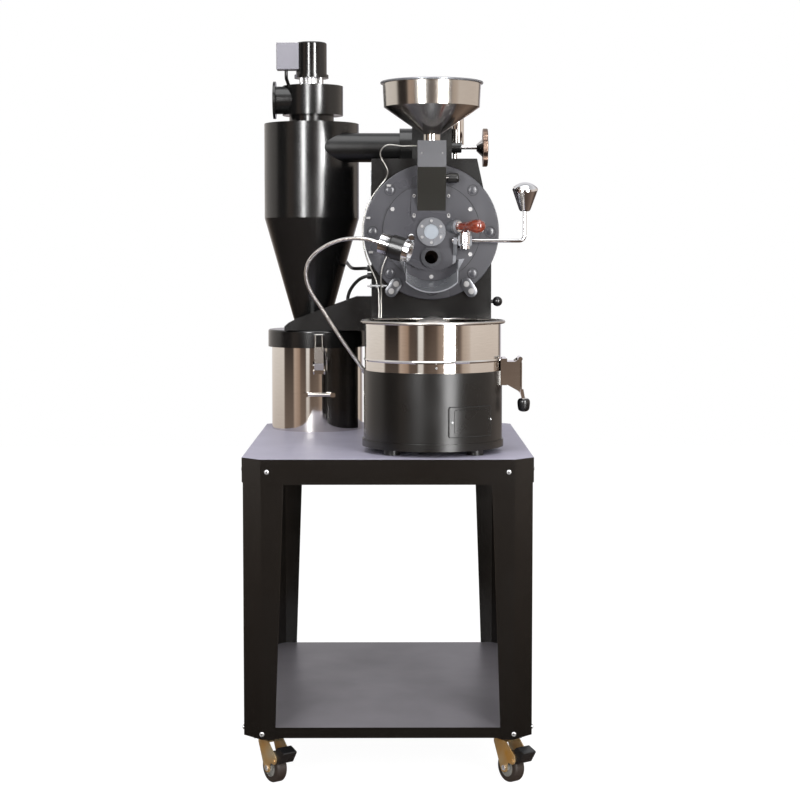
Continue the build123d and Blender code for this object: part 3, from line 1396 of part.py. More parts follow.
# Barrel lid: a pressed cap around the rim and the cone's neck, with the latch's hook plate
hook_low = 206.0
hook_high = 232.0
lid_wall = 2.0
with BuildPart() as barrel_lid:
    lid_floor = Plane(origin=barrel_at + Vector(0, 0, barrel_height - 10))
    with BuildSketch(lid_floor):
        Circle(lid_radius)
    extrude(amount=lid_top - barrel_height + 10)
    fillet(barrel_lid.faces().sort_by(Axis.Z)[-1].edges(), 5)
    with BuildSketch(lid_floor):
        Circle(barrel_radius + contact)
    extrude(amount=10, mode=Mode.SUBTRACT)
    with BuildSketch(Plane(origin=barrel_at + Vector(0, 0, barrel_height - 1))):
        Circle(barrel_radius - barrel_wall - 4)
    extrude(amount=lid_top - barrel_height - lid_wall + 1, mode=Mode.SUBTRACT)
    with BuildSketch(Plane(origin=(cyclone_x, cyclone_y, deck + lid_top - lid_wall))):
        Circle(cone_radius - cyclone_wall)
    extrude(amount=lid_wall, mode=Mode.SUBTRACT)
    with BuildSketch(bracket_section):
        with BuildLine():
            lid_y = cyclone_y - lid_radius
            Polyline((lid_y + 4, deck + hook_low), (lid_y - 2, deck + hook_low), (lid_y - 2, deck + 222),
                     (lid_y - 5, deck + 222), (lid_y - 5, deck + 227), (lid_y - 2, deck + hook_high),
                     (lid_y + 4, deck + hook_high), (lid_y + 4, deck + hook_low), close=True)
        make_face()
    extrude(amount=latch_half + 2, both=True)
    with BuildSketch(lid_floor):
        Circle(barrel_radius + contact)
    extrude(amount=10, mode=Mode.SUBTRACT)
save(barrel_lid, "barrel_lid")

# Toggle latch: lever on the bracket's pin, with a bail that reaches up to the hook
lever_top = deck + 200.0
with BuildPart() as barrel_latch:
    with BuildSketch(bracket_section):
        with BuildLine():
            Polyline((latch_pivot_y - 4, latch_pivot_z - 6), (latch_pivot_y + 4, latch_pivot_z - 4),
                     (latch_pivot_y + 4, latch_pivot_z + 5), (latch_pivot_y - 3, latch_pivot_z + 20),
                     (latch_pivot_y - 6, lever_top), (latch_pivot_y - 9, lever_top),
                     (latch_pivot_y - 8, latch_pivot_z + 10), (latch_pivot_y - 4, latch_pivot_z - 6),
                     close=True)
        make_face()
    extrude(amount=latch_half - contact, both=True)
    with BuildSketch(bracket_section):
        with Locations((latch_pivot_y, latch_pivot_z)):
            Circle(latch_pin + running)
    extrude(amount=latch_half * 2, both=True, mode=Mode.SUBTRACT)
    for end in (-1, 1):
        with BuildSketch(Plane(origin=(bracket_x + end * (latch_half - 3), latch_pivot_y - 8, lever_top - 12),
                               x_dir=(1, 0, 0), z_dir=(0, 0, 1))):
            Circle(1.6)
        extrude(amount=deck + 230 - lever_top + 12)
    with BuildSketch(Plane(origin=(bracket_x - latch_half + 1.4, latch_pivot_y - 8, deck + 229),
                           x_dir=(0, 1, 0), z_dir=(1, 0, 0))):
        Circle(1.6)
    extrude(amount=2 * latch_half - 2.8)
save(barrel_latch, "barrel_latch")

# Slanted duct between the body and the cyclone's foot, resting over the lid
duct_front = 151.0
duct_back = 213.0
duct_low = lid_top + contact
with BuildPart() as chaff_duct:
    with BuildSketch(Plane(origin=(0, duct_front, 0), x_dir=(1, 0, 0), z_dir=(0, -1, 0))):
        with BuildLine():
            Polyline((casing_left, deck + duct_low), (casing_left, deck + 318), (-75, deck + 318),
                     (-215, deck + 266), (-234, deck + 256), (-243, deck + 248), (-243, deck + duct_low),
                     (casing_left, deck + duct_low), close=True)
        make_face()
    extrude(amount=duct_front - duct_back)
save(chaff_duct, "chaff_duct")

# Work lamp: head on a gooseneck that is clamped to the body's left wall
neck_tube = 4.0
base_at = Vector(casing_left - contact, -35, deck + 150)
neck_route = [
    (-46, -35, 150), (-60, -37, 165), (-80, -41, 193), (-103, -47.5, 226.1),
    (-125.8, -55.6, 262.2), (-146.6, -65.9, 296.4), (-164.2, -77.9, 322.6), (-176.7, -93, 348.7),
    (-180.2, -107.9, 374.7), (-173.8, -124.1, 398.6), (-155.7, -140, 419.4),
    (-129.7, -155.1, 436.2), (-99, -169.1, 447), (-68.5, -181.4, 449.9), (-41, -191.5, 447),
    (-18.5, -197.4, 440.1),
]
neck_points = [Vector(x, y, deck + z) for x, y, z in neck_route]


def bend_radii(points, share=0.45):
    """The largest arc that each corner of a route allows."""
    radii = []
    for before, here, after in zip(points, points[1:], points[2:]):
        arriving = here - before
        leaving = after - here
        half = radians(arriving.get_angle(leaving)) / 2
        radii.append(share * min(arriving.length, leaving.length) / tan(half))
    return radii


with BuildPart() as gooseneck:
    with BuildLine():
        neck_line = FilletPolyline(*neck_points, radius=bend_radii(neck_points))
    with BuildSketch(Plane(origin=neck_points[0], z_dir=neck_points[1] - neck_points[0])):
        Circle(neck_tube)
    sweep()
    neck_out = (neck_points[0] - neck_points[1]).normalized()
    with BuildSketch(Plane(origin=neck_points[0] - neck_out * 12, z_dir=neck_out)):
        Circle(neck_tube + 3)
    extrude(amount=14)
    with BuildSketch(Plane(origin=base_at + Vector(0, 0, -4), x_dir=(0, 1, 0), z_dir=(-1, 0, 0))):
        RectangleRounded(34, 30, 5)
    extrude(amount=12)
save(gooseneck, "gooseneck")

lamp_dir = (neck_points[-1] - neck_points[-2]).normalized()
lamp_back = neck_points[-1]
with BuildPart() as lamp_head:
    for start, length, radius in ((0, 4, 9), (4, 22, 23), (26, 2.5, 20), (28.5, 30, 26), (58.5, 2, 24),
                                  (60.5, 10, 23)):
        with BuildSketch(Plane(origin=lamp_back + lamp_dir * start, z_dir=lamp_dir)):
            Circle(radius)
        extrude(amount=length)
    with BuildSketch(Plane(origin=lamp_back + lamp_dir * 70.5, z_dir=lamp_dir)):
        Circle(20)
    extrude(amount=-4, mode=Mode.SUBTRACT)
save(lamp_head, "lamp_head")

# Leads: two probe wires clipped round the plate, and two cables out of the casing's left wall
wire_radius = 1.5
cable_radius = 4.0
gland_radius = 7.5
probe_wire = [
    (roast_x - chute_half, -100, 651), (46, -100, 651), (30, -99, 650), (14, -97, 653), (-1, -94, 654),
    (-12, -90, 648), (-18, -84, 637), (-15, -79, 624), (-6, -76, 611), (0, -73, 597), (-3, -66, 584),
    (-22, -64, 560.5), (-40.5, -64, 535), (-52, -64, 505), (-57, -64, 470), (-54.5, -64, 435),
    (-48, -64, 408), (-38, -63, 384), (-27, -61, 360), (-21, -60, 336), (-20.5, -61, 312),
    (-20, -62, 292), (-20.5, -63.5, 275), (-20.5, -64, 262), (-20.5, body_front, 262),
]
plate_wire = [
    (-3, face_y, 411), (-3, -80, 411), (-9, -81, 397), (-14.5, -79, 381), (-16, -76, 364),
    (-15.5, -69, 347), (-15, -62.5, 330), (-15.5, -61, 308), (-15, -62, 289), (-15.5, -64, 274),
    (-15.5, -64.5, 262), (-15.5, body_front, 262),
]
fan_cable = [
    (casing_left, 200, 383), (-55, 200, 383), (-80, 225, 382), (-90, 275, 384), (-100, 325, 394),
    (-125, 366, 425), (-158, 385, 470), (-185, 387, 520), (-197, 386, 580), (-201, 387, 640),
    (-206, 386, 700), (-214, 376, 748), (-226, 350, 788), (-237, 322, 812), (-241, 292, 826),
    (-243, 268, 833), (-243, 262, 839), (-243, 262, terminal_low),
]
body_cable = [
    (casing_left, 200, 365), (-50, 200, 365), (-67, 206, 359), (-82, 217, 345), (-93, 224, 328),
    (-98, 228, 309), (-93, 232, 290), (-82, 236, 274), (-67, 238, 262), (-52, 237, 256),
    (casing_left, 237, 256),
]
with BuildPart() as leads:
    for route, radius in ((probe_wire, wire_radius), (plate_wire, wire_radius),
                          (fan_cable, cable_radius), (body_cable, cable_radius)):
        points = [Vector(x, y, deck + z) for x, y, z in route]
        radii = bend_radii(points)
        with BuildLine():
            FilletPolyline(*points, radius=radii)
        with BuildSketch(Plane(origin=points[0], z_dir=points[1] - points[0])):
            Circle(radius)
        sweep()
    for route in (fan_cable, body_cable):
        start = Vector(*route[0]) + Vector(0, 0, deck)
        with BuildSketch(Plane(origin=start, z_dir=(-1, 0, 0))):
            Circle(gland_radius)
        extrude(amount=13)
save(leads, "leads")
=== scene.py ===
"""Looks of an electric drum coffee roaster on its cart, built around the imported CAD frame.

Sizes are in millimetres and meshes in metres. +X is right, +Y back, +Z up. Each class with a
build() dresses or trims one part of the machine, and its dataclass holds that part's sizes.
"""

import json
import logging
import math
from abc import ABC, abstractmethod
from dataclasses import dataclass
from enum import Enum
from typing import Any, Callable, Iterable, Sequence

import bmesh
import bpy
from mathutils import Matrix, Vector

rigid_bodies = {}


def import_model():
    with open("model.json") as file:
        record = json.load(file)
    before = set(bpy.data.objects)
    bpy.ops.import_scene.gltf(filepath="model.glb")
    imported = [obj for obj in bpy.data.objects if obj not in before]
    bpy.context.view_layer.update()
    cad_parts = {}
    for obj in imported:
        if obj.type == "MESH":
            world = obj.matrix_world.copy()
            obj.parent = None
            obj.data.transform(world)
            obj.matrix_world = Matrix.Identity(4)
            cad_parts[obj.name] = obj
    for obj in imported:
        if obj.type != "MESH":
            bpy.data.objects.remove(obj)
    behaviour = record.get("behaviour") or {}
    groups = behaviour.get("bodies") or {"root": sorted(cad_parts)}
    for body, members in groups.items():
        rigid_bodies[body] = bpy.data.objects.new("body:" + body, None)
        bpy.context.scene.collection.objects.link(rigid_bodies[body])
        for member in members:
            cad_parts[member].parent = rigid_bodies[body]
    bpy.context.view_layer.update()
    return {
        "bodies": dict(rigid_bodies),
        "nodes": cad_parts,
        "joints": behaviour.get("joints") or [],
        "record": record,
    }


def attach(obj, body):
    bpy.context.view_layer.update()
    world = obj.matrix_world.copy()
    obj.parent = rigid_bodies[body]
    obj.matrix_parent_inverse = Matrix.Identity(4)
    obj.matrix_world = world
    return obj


LOG = logging.getLogger("roaster")
MM = 0.001
# Height of the cart's top, from which the machine's heights are counted
DECK = 676.0
# The body that stands still
ROOT = "frame"
# Edges blunter than this many degrees shade smoothly
SMOOTH = 35.0
# Edges sharper than this many degrees are rounded on pieces that are softened
SHARP = 40.0
Mesh = bmesh.types.BMesh
Tree = bpy.types.NodeTree
Socket = bpy.types.NodeSocket
Point = tuple[float, float, float]
# Radius and height pairs along a turned fitting's axis
Profile = tuple[tuple[float, float], ...]
# Directions in which fittings stand out
FRONT: Point = (0, -1, 0)
RIGHT: Point = (1, 0, 0)
UP: Point = (0, 0, 1)


class Pattern(Enum):
    """Procedural relief or tone that a finish carries."""

    PLAIN = "plain"
    FINE_TEXTURE = "fine texture"
    BRUSHED = "brushed"
    GRAIN = "grain"
    BRAID = "braid"


@dataclass(frozen=True)
class Finish:
    """One real finish, with colours as sRGB hex."""

    name: str
    colour: str
    metallic: float = 0.0
    roughness: float = 0.5
    coat: float = 0.0
    transmission: float = 0.0
    pattern: Pattern = Pattern.PLAIN
    scale: float = 60.0
    relief: float = 0.0
    second: str = ""
    smudge: float = 0.05


# Gloss black powder coat on folded sheet, which mirrors the pale room at a low angle
CART_COAT = Finish("Gloss black powder coat", "#0f0d0b", roughness=0.16, smudge=0.03)
# Satin black powder coat of the roaster's casing
CASING_COAT = Finish("Satin black powder coat", "#121212", roughness=0.22, pattern=Pattern.FINE_TEXTURE,
                     scale=1200, relief=0.04)
# Semi-matt black stove enamel of the cooling bin's housing
SKIRT_COAT = Finish("Semi-matt black stove enamel", "#0a0908", roughness=0.3, pattern=Pattern.FINE_TEXTURE,
                    scale=1200, relief=0.03)
# Matt black paint on the hot exhaust pipe, made darker than the casing as painted shade, so that the pipe fades where
# it passes in front of the cyclone
PIPE_SHADE_COAT = Finish("Matt black pipe paint, darkened as painted shade", "#070708", roughness=0.34)
# Fine textured charcoal enamel on the cast front plate
PLATE_ENAMEL = Finish("Charcoal hammered enamel", "#39393f", roughness=0.3,
                      pattern=Pattern.FINE_TEXTURE, scale=700, relief=0.08)
# Polished stainless sheet, rolled and welded
POLISHED_STEEL = Finish("Polished stainless steel", "#dedad5", metallic=1.0, roughness=0.06,
                        pattern=Pattern.BRUSHED, scale=40, smudge=0.02)
# Spun stainless of the hopper, less bright than the polished sheet
HOPPER_STEEL = Finish("Spun stainless steel", "#c9c5bf", metallic=1.0, roughness=0.16,
                      pattern=Pattern.BRUSHED, scale=40, smudge=0.02)
# Brushed stainless of the drum, floor and shafts
BRUSHED_STEEL = Finish("Brushed stainless steel", "#bdb9b4", metallic=1.0, roughness=0.3,
                       pattern=Pattern.BRUSHED, scale=70, relief=0.03)
# Top and shelf sheets are gloss black like the cart; their top faces are coloured a pale and a darker lavender-grey
# as a painted reflection of the pale room
TOP_REFLECTION_PAINT = Finish("Lavender-grey painted reflection, top", "#a5a2b4", roughness=0.5, smudge=0.03)
SHELF_REFLECTION_PAINT = Finish("Lavender-grey painted reflection, shelf", "#5f5c61", roughness=0.4, smudge=0.03)
# Satin nickel on the machined flanges of the front plate
SATIN_NICKEL = Finish("Satin nickel plate", "#818388", metallic=0.6, roughness=0.28)
# Dark machined steel of the clamp tabs and the sampling port's flange
DARK_STEEL = Finish("Dark machined steel", "#4b4c50", metallic=0.3, roughness=0.25)
# Heat-hazed toughened glass of the drum's window
HAZED_GLASS = Finish("Heat-hazed sight glass", "#b9c0c8", roughness=0.08, coat=1.0, transmission=0.25)
# Bright plated brass fittings
CHROME = Finish("Chrome plate", "#e4e4e6", metallic=1.0, roughness=0.07)
# Dull bronze plating on the cast handwheel
BRONZE = Finish("Dull bronze plate", "#7d6a5e", metallic=1.0, roughness=0.35, pattern=Pattern.FINE_TEXTURE,
                scale=500, relief=0.05)
# Dark zinc-plated pressing of the caster races
DARK_ZINC = Finish("Blackened zinc plate", "#4a4642", metallic=0.9, roughness=0.35)
# Yellow passivated zinc on the caster forks
YELLOW_ZINC = Finish("Yellow passivated zinc", "#bf8c42", metallic=0.65, roughness=0.36, second="#b9ab8c")
# Moulded black nylon and phenolic
BLACK_PLASTIC = Finish("Moulded black plastic", "#131314", roughness=0.28, pattern=Pattern.FINE_TEXTURE, scale=500,
                       relief=0.02)
# Dark brown caster tyre
TYRE_RUBBER = Finish("Dark brown rubber", "#2b211b", roughness=0.55, pattern=Pattern.FINE_TEXTURE, scale=400,
                     relief=0.06)
# Grey nylon hub of the caster wheels
HUB_NYLON = Finish("Grey nylon", "#8f8d88", roughness=0.4)
# Red-brown lacquered hardwood
LACQUERED_WOOD = Finish("Lacquered padauk", "#8a3a24", roughness=0.25, coat=0.7, pattern=Pattern.GRAIN,
                        scale=30, relief=0.02, second="#5e2014")
# Tinned copper braid over the probe wires
WIRE_BRAID = Finish("Tinned braid", "#a9a7a3", metallic=0.85, roughness=0.38, pattern=Pattern.BRAID, scale=900,
                    relief=0.25)
# Black PVC cable sheath
CABLE_SHEATH = Finish("Black PVC sheath", "#151515", roughness=0.42)
# Zinc-plated screws and nuts
SCREW_ZINC = Finish("Bright zinc plate", "#c3c3c4", metallic=0.6, roughness=0.25)
# Painted shade: dark pieces in the drive slots and sockets of screws, and in the seams of the front plate and the bin
# door
RECESS_SHADE = Finish("Shadowed recess", "#0b0b0b", roughness=0.8)
# One charcoal enamel on the chute's lower and upper parts, which lean different ways; the lower part, facing down, is
# darker as painted shade, and the upper part is lighter as painted light
CHUTE_SHADED = Finish("Chute enamel, painted shade", "#22211d", roughness=0.36, pattern=Pattern.FINE_TEXTURE,
                     scale=900, relief=0.06)
CHUTE_LIT = Finish("Chute enamel, painted light", "#424247", roughness=0.36, pattern=Pattern.FINE_TEXTURE,
                     scale=900, relief=0.06)
# Gloss black paint of the blower's motor
MOTOR_PAINT = Finish("Gloss black motor paint", "#141415", roughness=0.18)
# Grey paint of the motor's terminal box
BOX_PAINT = Finish("Grey machine paint", "#77757f", roughness=0.45)


def linear(code: str) -> tuple[float, float, float, float]:
    """Turn an sRGB hex code into a linear colour.

    Args:
        code: Colour such as "#8a3a24".
    Returns:
        Linear red, green and blue, and full alpha.
    """
    def channel(at: int) -> float:
        """Return the linear value of the two digits that start at a place in the code."""
        v = int(code[at:at + 2], 16) / 255
        return v / 12.92 if v <= 0.04045 else ((v + 0.055) / 1.055) ** 2.4

    return channel(1), channel(3), channel(5), 1.0


def add_node(tree: Tree, kind: str, /, props: dict[str, Any] | None = None, **inputs: Any) -> bpy.types.Node:
    """Add one shader node, set its properties, and set or link its inputs.

    Args:
        tree: Node tree to add to.
        kind: Node type without the ShaderNode prefix.
        props: Attributes such as operation or blend_type.
        inputs: Input name with underscores for spaces, or i0, i1 for an index.
    Returns:
        The new node.
    """
    node = tree.nodes.new("ShaderNode" + kind)
    for key, value in (props or {}).items():
        setattr(node, key, value)
    for key, value in inputs.items():
        if key[0] == "i" and key[1:].isdigit():
            socket = node.inputs[int(key[1:])]
        else:
            socket = node.inputs[key.replace("_", " ")]
        if isinstance(value, Socket):
            tree.links.new(value, socket)
        else:
            socket.default_value = value
    return node


class MaterialLibrary:
    """Makes each finish into a procedural material once."""

    # Span of a noise texture's values that is stretched to the full range
    NOISE_SPAN = {"i1": 0.3, "i2": 0.7}
    # How far the darker tone goes over the base, with and without a second colour
    SECOND_SHARE = 1.0
    TONE_SHARE = 0.35
    # The darker tone as a share of the base, where no second colour is given
    DARKER = 0.8
    # Scale of the clouds of uneven gloss
    CLOUD_SCALE = 9.0
    # How brushing and wood grain are drawn out, and the grain's slant in degrees
    BRUSH_STRETCH = (1.0, 1.0, 30.0)
    GRAIN_STRETCH = (9.0, 1.0, 9.0)
    GRAIN_SLANT = 38
    BUMP_DEPTH = 0.0004

    def __init__(self) -> None:
        """Start with no material made."""
        self._made: dict[str, bpy.types.Material] = {}

    def get(self, finish: Finish) -> bpy.types.Material:
        """Return the material of a finish.

        Args:
            finish: The real finish to show.
        Returns:
            A node material that is shared by every piece with that finish.
        """
        if finish.name not in self._made:
            self._made[finish.name] = self._make(finish)
        return self._made[finish.name]

    def _make(self, f: Finish) -> bpy.types.Material:
        """Build the node tree: a tone over the base colour, uneven gloss, and relief if any.

        Args:
            f: The real finish to show.
        Returns:
            The new material.
        """
        material = bpy.data.materials.new(f.name)
        material.use_nodes = True
        tree = material.node_tree
        shader = tree.nodes["Principled BSDF"]
        shader.inputs["Metallic"].default_value = f.metallic
        shader.inputs["Coat Weight"].default_value = f.coat
        shader.inputs["Transmission Weight"].default_value = f.transmission
        place = add_node(tree, "TexCoord").outputs["Object"]
        base = linear(f.colour)
        dark = linear(f.second) if f.second else tuple(c * self.DARKER for c in base[:3]) + (1.0,)
        cloud = add_node(tree, "TexNoise", Vector=place, Scale=self.CLOUD_SCALE, Detail=3.0).outputs["Fac"]
        tone = self._pattern(tree, f, place)
        share = add_node(tree, "MapRange", Value=tone, i3=0.0, i4=self.SECOND_SHARE if f.second else
                         self.TONE_SHARE, **self.NOISE_SPAN).outputs["Result"]
        mix = add_node(tree, "Mix", {"data_type": "RGBA"}, i0=share, i6=base, i7=dark)
        tree.links.new(mix.outputs[2], shader.inputs["Base Color"])
        rough = add_node(tree, "MapRange", Value=cloud, i3=max(f.roughness - f.smudge, 0.01),
                         i4=f.roughness + f.smudge, **self.NOISE_SPAN)
        tree.links.new(rough.outputs["Result"], shader.inputs["Roughness"])
        if f.relief:
            bump = add_node(tree, "Bump", Height=tone, Strength=f.relief, Distance=self.BUMP_DEPTH)
            tree.links.new(bump.outputs["Normal"], shader.inputs["Normal"])
        return material

    def _pattern(self, tree: Tree, f: Finish, place: Socket) -> Socket:
        """Add the nodes of a finish's pattern.

        Args:
            tree: Node tree to add to.
            f: The finish with its pattern and scale.
            place: Socket that gives the place on the piece.
        Returns:
            Socket with the pattern's tone from 0 to 1.
        """
        if f.pattern is Pattern.BRUSHED:
            stretch = add_node(tree, "Mapping", Vector=place, Scale=self.BRUSH_STRETCH).outputs["Vector"]
            return add_node(tree, "TexNoise", Vector=stretch, Scale=f.scale, Detail=2.0).outputs["Fac"]
        if f.pattern is Pattern.GRAIN:
            stretch = add_node(tree, "Mapping", Vector=place, Rotation=(0.0, 0.0, math.radians(self.GRAIN_SLANT)),
                               Scale=self.GRAIN_STRETCH).outputs["Vector"]
            return add_node(tree, "TexNoise", Vector=stretch, Scale=f.scale, Detail=5.0,
                            Distortion=0.6).outputs["Fac"]
        if f.pattern is Pattern.BRAID:
            return add_node(tree, "TexVoronoi", Vector=place, Scale=f.scale).outputs["Distance"]
        if f.pattern is Pattern.PLAIN:
            return add_node(tree, "TexNoise", Vector=place, Scale=20.0, Detail=2.0).outputs["Fac"]
        return add_node(tree, "TexNoise", Vector=place, Scale=f.scale, Detail=2.0).outputs["Fac"]


class Bench:
    """Turns bmesh shapes into pieces that ride on a CAD body."""

    def __init__(self, frame: dict[str, Any], library: MaterialLibrary) -> None:
        """Take the loaded frame and the library of materials."""
        self.frame = frame
        self.library = library

    def dress(self, node: str, finish: Finish) -> None:
        """Give all faces of a CAD node one finish.

        Args:
            node: Name of the CAD node.
            finish: The finish to show.
        """
        data = self.frame["nodes"][node].data
        data.materials.clear()
        data.materials.append(self.library.get(finish))
        data.set_sharp_from_angle(angle=math.radians(SMOOTH))

    def dress_split(self, node: str, finishes: Sequence[Finish], pick: Callable[[Vector], int]) -> None:
        """Give a CAD node several finishes.

        Args:
            node: Name of the CAD node.
            finishes: The finishes to choose from.
            pick: Returns the finish's place in the list for a face centre in millimetres.
        """
        self.dress(node, finishes[0])
        data = self.frame["nodes"][node].data
        for finish in finishes[1:]:
            data.materials.append(self.library.get(finish))
        for face in data.polygons:
            face.material_index = pick(face.center / MM)

    def piece(self, name: str, bm: Mesh, finish: Finish, smooth: float = SMOOTH) -> None:
        """Make one rigid piece, fixed to the standing body, from a mesh that is already in place.

        Args:
            name: Name of the piece.
            bm: The mesh in metres, which is freed.
            finish: The finish of all its faces.
            smooth: Angle in degrees below which edges shade smoothly.
        """
        bmesh.ops.recalc_face_normals(bm, faces=bm.faces)
        name = name.lower().replace(" ", "_")
        mesh = bpy.data.meshes.new(name)
        bm.to_mesh(mesh)
        bm.free()
        mesh.shade_smooth()
        mesh.set_sharp_from_angle(angle=math.radians(smooth))
        mesh.materials.append(self.library.get(finish))
        obj = bpy.data.objects.new(name, mesh)
        bpy.context.scene.collection.objects.link(obj)
        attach(obj, ROOT)
        LOG.info("made %s", name)


def facing(at: Sequence[float], axis: Sequence[float]) -> Matrix:
    """Matrix that puts local +Z along an axis at a point given in millimetres.

    Args:
        at: Place in millimetres.
        axis: Direction of local +Z.
    Returns:
        Placement matrix in metres.
    """
    turn = Vector(axis).normalized().to_track_quat("Z", "Y").to_matrix().to_4x4()
    return Matrix.Translation(Vector(at) * MM) @ turn


def add_cylinder(bm: Mesh, at: Sequence[float], axis: Sequence[float], radius: float, length: float,
                 sides: int) -> None:
    """Add a closed cylinder that starts at a point.

    Args:
        bm: Mesh to add to.
        at: Centre of the first end in millimetres.
        axis: Direction towards the other end.
        radius: Radius in millimetres.
        length: Length in millimetres.
        sides: Number of sides.
    """
    matrix = facing(at, axis) @ Matrix.Translation((0, 0, length * MM / 2))
    bmesh.ops.create_cone(bm, cap_ends=True, segments=sides, radius1=radius * MM, radius2=radius * MM,
                          depth=length * MM, matrix=matrix)


def add_block(bm: Mesh, centre: Sequence[float], size: Sequence[float], turn: Matrix | None = None) -> None:
    """Add a box.

    Args:
        bm: Mesh to add to.
        centre: Middle of the box in millimetres.
        size: Full lengths in millimetres.
        turn: Rotation about its middle.
    """
    matrix = Matrix.Translation(Vector(centre) * MM)
    if turn is not None:
        matrix = matrix @ turn
    bmesh.ops.create_cube(bm, size=1.0, matrix=matrix @ Matrix.Diagonal((*[s * MM for s in size], 1.0)))


def add_turned(bm: Mesh, at: Sequence[float], axis: Sequence[float], profile: Sequence[tuple[float, float]],
               steps: int) -> None:
    """Add a turned shape.

    Args:
        bm: Mesh to add to.
        at: Origin of the profile in millimetres.
        axis: Axis that it is turned about.
        profile: Radius and height pairs in millimetres, from one end to the other.
        steps: Number of steps round the axis.
    """
    place = facing(at, axis)
    verts = [bm.verts.new(place @ Vector((r * MM, 0, h * MM))) for r, h in profile]
    edges = [bm.edges.new(pair) for pair in zip(verts, verts[1:])]
    centre = place.to_translation()
    spin_axis = (place.to_3x3() @ Vector((0, 0, 1))).normalized()
    bmesh.ops.spin(bm, geom=verts + edges, cent=centre, axis=spin_axis, angle=2 * math.pi, steps=steps,
                   use_merge=True)
    bmesh.ops.remove_doubles(bm, verts=bm.verts, dist=1e-7)


def add_oval(bm: Mesh, place: Matrix, half: float, radius: float, heights: tuple[float, float]) -> None:
    """Add a plate with round ends.

    Args:
        bm: Mesh to add to.
        place: Matrix whose local +X runs along the plate and +Z out of it.
        half: Half the distance between the centres of the round ends, in millimetres.
        radius: Radius of the ends in millimetres.
        heights: Where its back and front lie on local Z, in millimetres.
    """
    corners = 32
    outline = []
    for turn in (2 * math.pi * corner / corners for corner in range(corners)):
        shift = half if math.cos(turn) >= 0 else -half
        local = Vector((shift + radius * math.cos(turn), radius * math.sin(turn), heights[0]))
        outline.append(bm.verts.new(place @ (local * MM)))
    grown = bmesh.ops.extrude_face_region(bm, geom=[bm.faces.new(outline)])["geom"]
    bmesh.ops.translate(bm, vec=place.to_3x3() @ Vector((0, 0, (heights[1] - heights[0]) * MM)),
                        verts=[item for item in grown if isinstance(item, bmesh.types.BMVert)])


def soften(bm: Mesh, width: float) -> None:
    """Round the sharp edges of a mesh.

    Args:
        bm: Mesh to change.
        width: Bevel width in millimetres.
    """
    edges = [e for e in bm.edges if len(e.link_faces) == 2 and e.calc_face_angle(0) > math.radians(SHARP)]
    bmesh.ops.bevel(bm, geom=edges, offset=width * MM, segments=2, affect="EDGES", profile=0.5, material=-1,
                    clamp_overlap=True)


# What stands round the studio, by degrees from the camera's side towards the right
ROOM_WALLS: list[tuple[float, str]] = [
    (-180, "#e8e4ec"), (-160, "#f6efe9"), (-92, "#f2ebe4"), (-88, "#3a302b"), (-80, "#241f1d"), (-62, "#241f1d"),
    (-57, "#cdb7a6"), (-44, "#a98f7c"), (-40, "#57483f"), (-27, "#463931"), (-25, "#fbf7f2"), (-18, "#fbf7f2"),
    (-16, "#5a4a40"), (-12, "#463931"), (4, "#63544a"), (10, "#a38f80"),
    (15, "#b3a08f"), (38, "#776659"), (42, "#5a4c43"), (46, "#7b6b60"), (50, "#c3b2a3"), (62, "#dccdc0"),
    (66, "#eee2d8"), (140, "#e6d9ce"), (150, "#5a5049"), (163, "#e8e4ec"), (180, "#e8e4ec")]
# Below and above the walls: a brown floor, then a pale ceiling
ROOM_ENDS: list[tuple[float, str]] = [(0.0, "#2c2521"), (0.2, "#8a7669"), (0.36, "#3a312c"), (0.46, "#a99688"),
                                      (0.6, "#c9c6c5"), (0.85, "#f3f3f4"), (1.0, "#bbbcbf")]


@dataclass(frozen=True)
class CameraFit:
    """Where the photo was taken from, in millimetres and degrees."""

    place: Point = (11.0, -3900.3, 1084.0)
    pitch_down: float = 3.635
    yaw_right: float = 0.226
    field_of_view: float = 25.95
    # The photo is the lower part of a taller level shot, so a little of its framing stays as shift
    shift_up: float = -0.04


@dataclass(frozen=True)
class SoftLight:
    """A rectangular light, in millimetres and watts, that may light or only shine in reflections."""

    name: str
    place: Point
    size: tuple[float, float]
    power: float
    diffuse: bool = True
    glossy: bool = True


LIGHTS: tuple[SoftLight, ...] = (
    SoftLight("Right strip", (1191, -2477, 1150), (780, 2000), 62.0),
    SoftLight("Left strip", (-1060, -2607, 1300), (380, 1900), 34.0, glossy=False),
    SoftLight("Top", (0, -600, 3600), (2200, 2200), 45.0),
    SoftLight("Left gloss strip", (-1050, -2600, 1780), (420, 1400), 74.0, diffuse=False),
    SoftLight("Right gloss strip", (1260, -2350, 1780), (380, 1400), 64.0, diffuse=False))


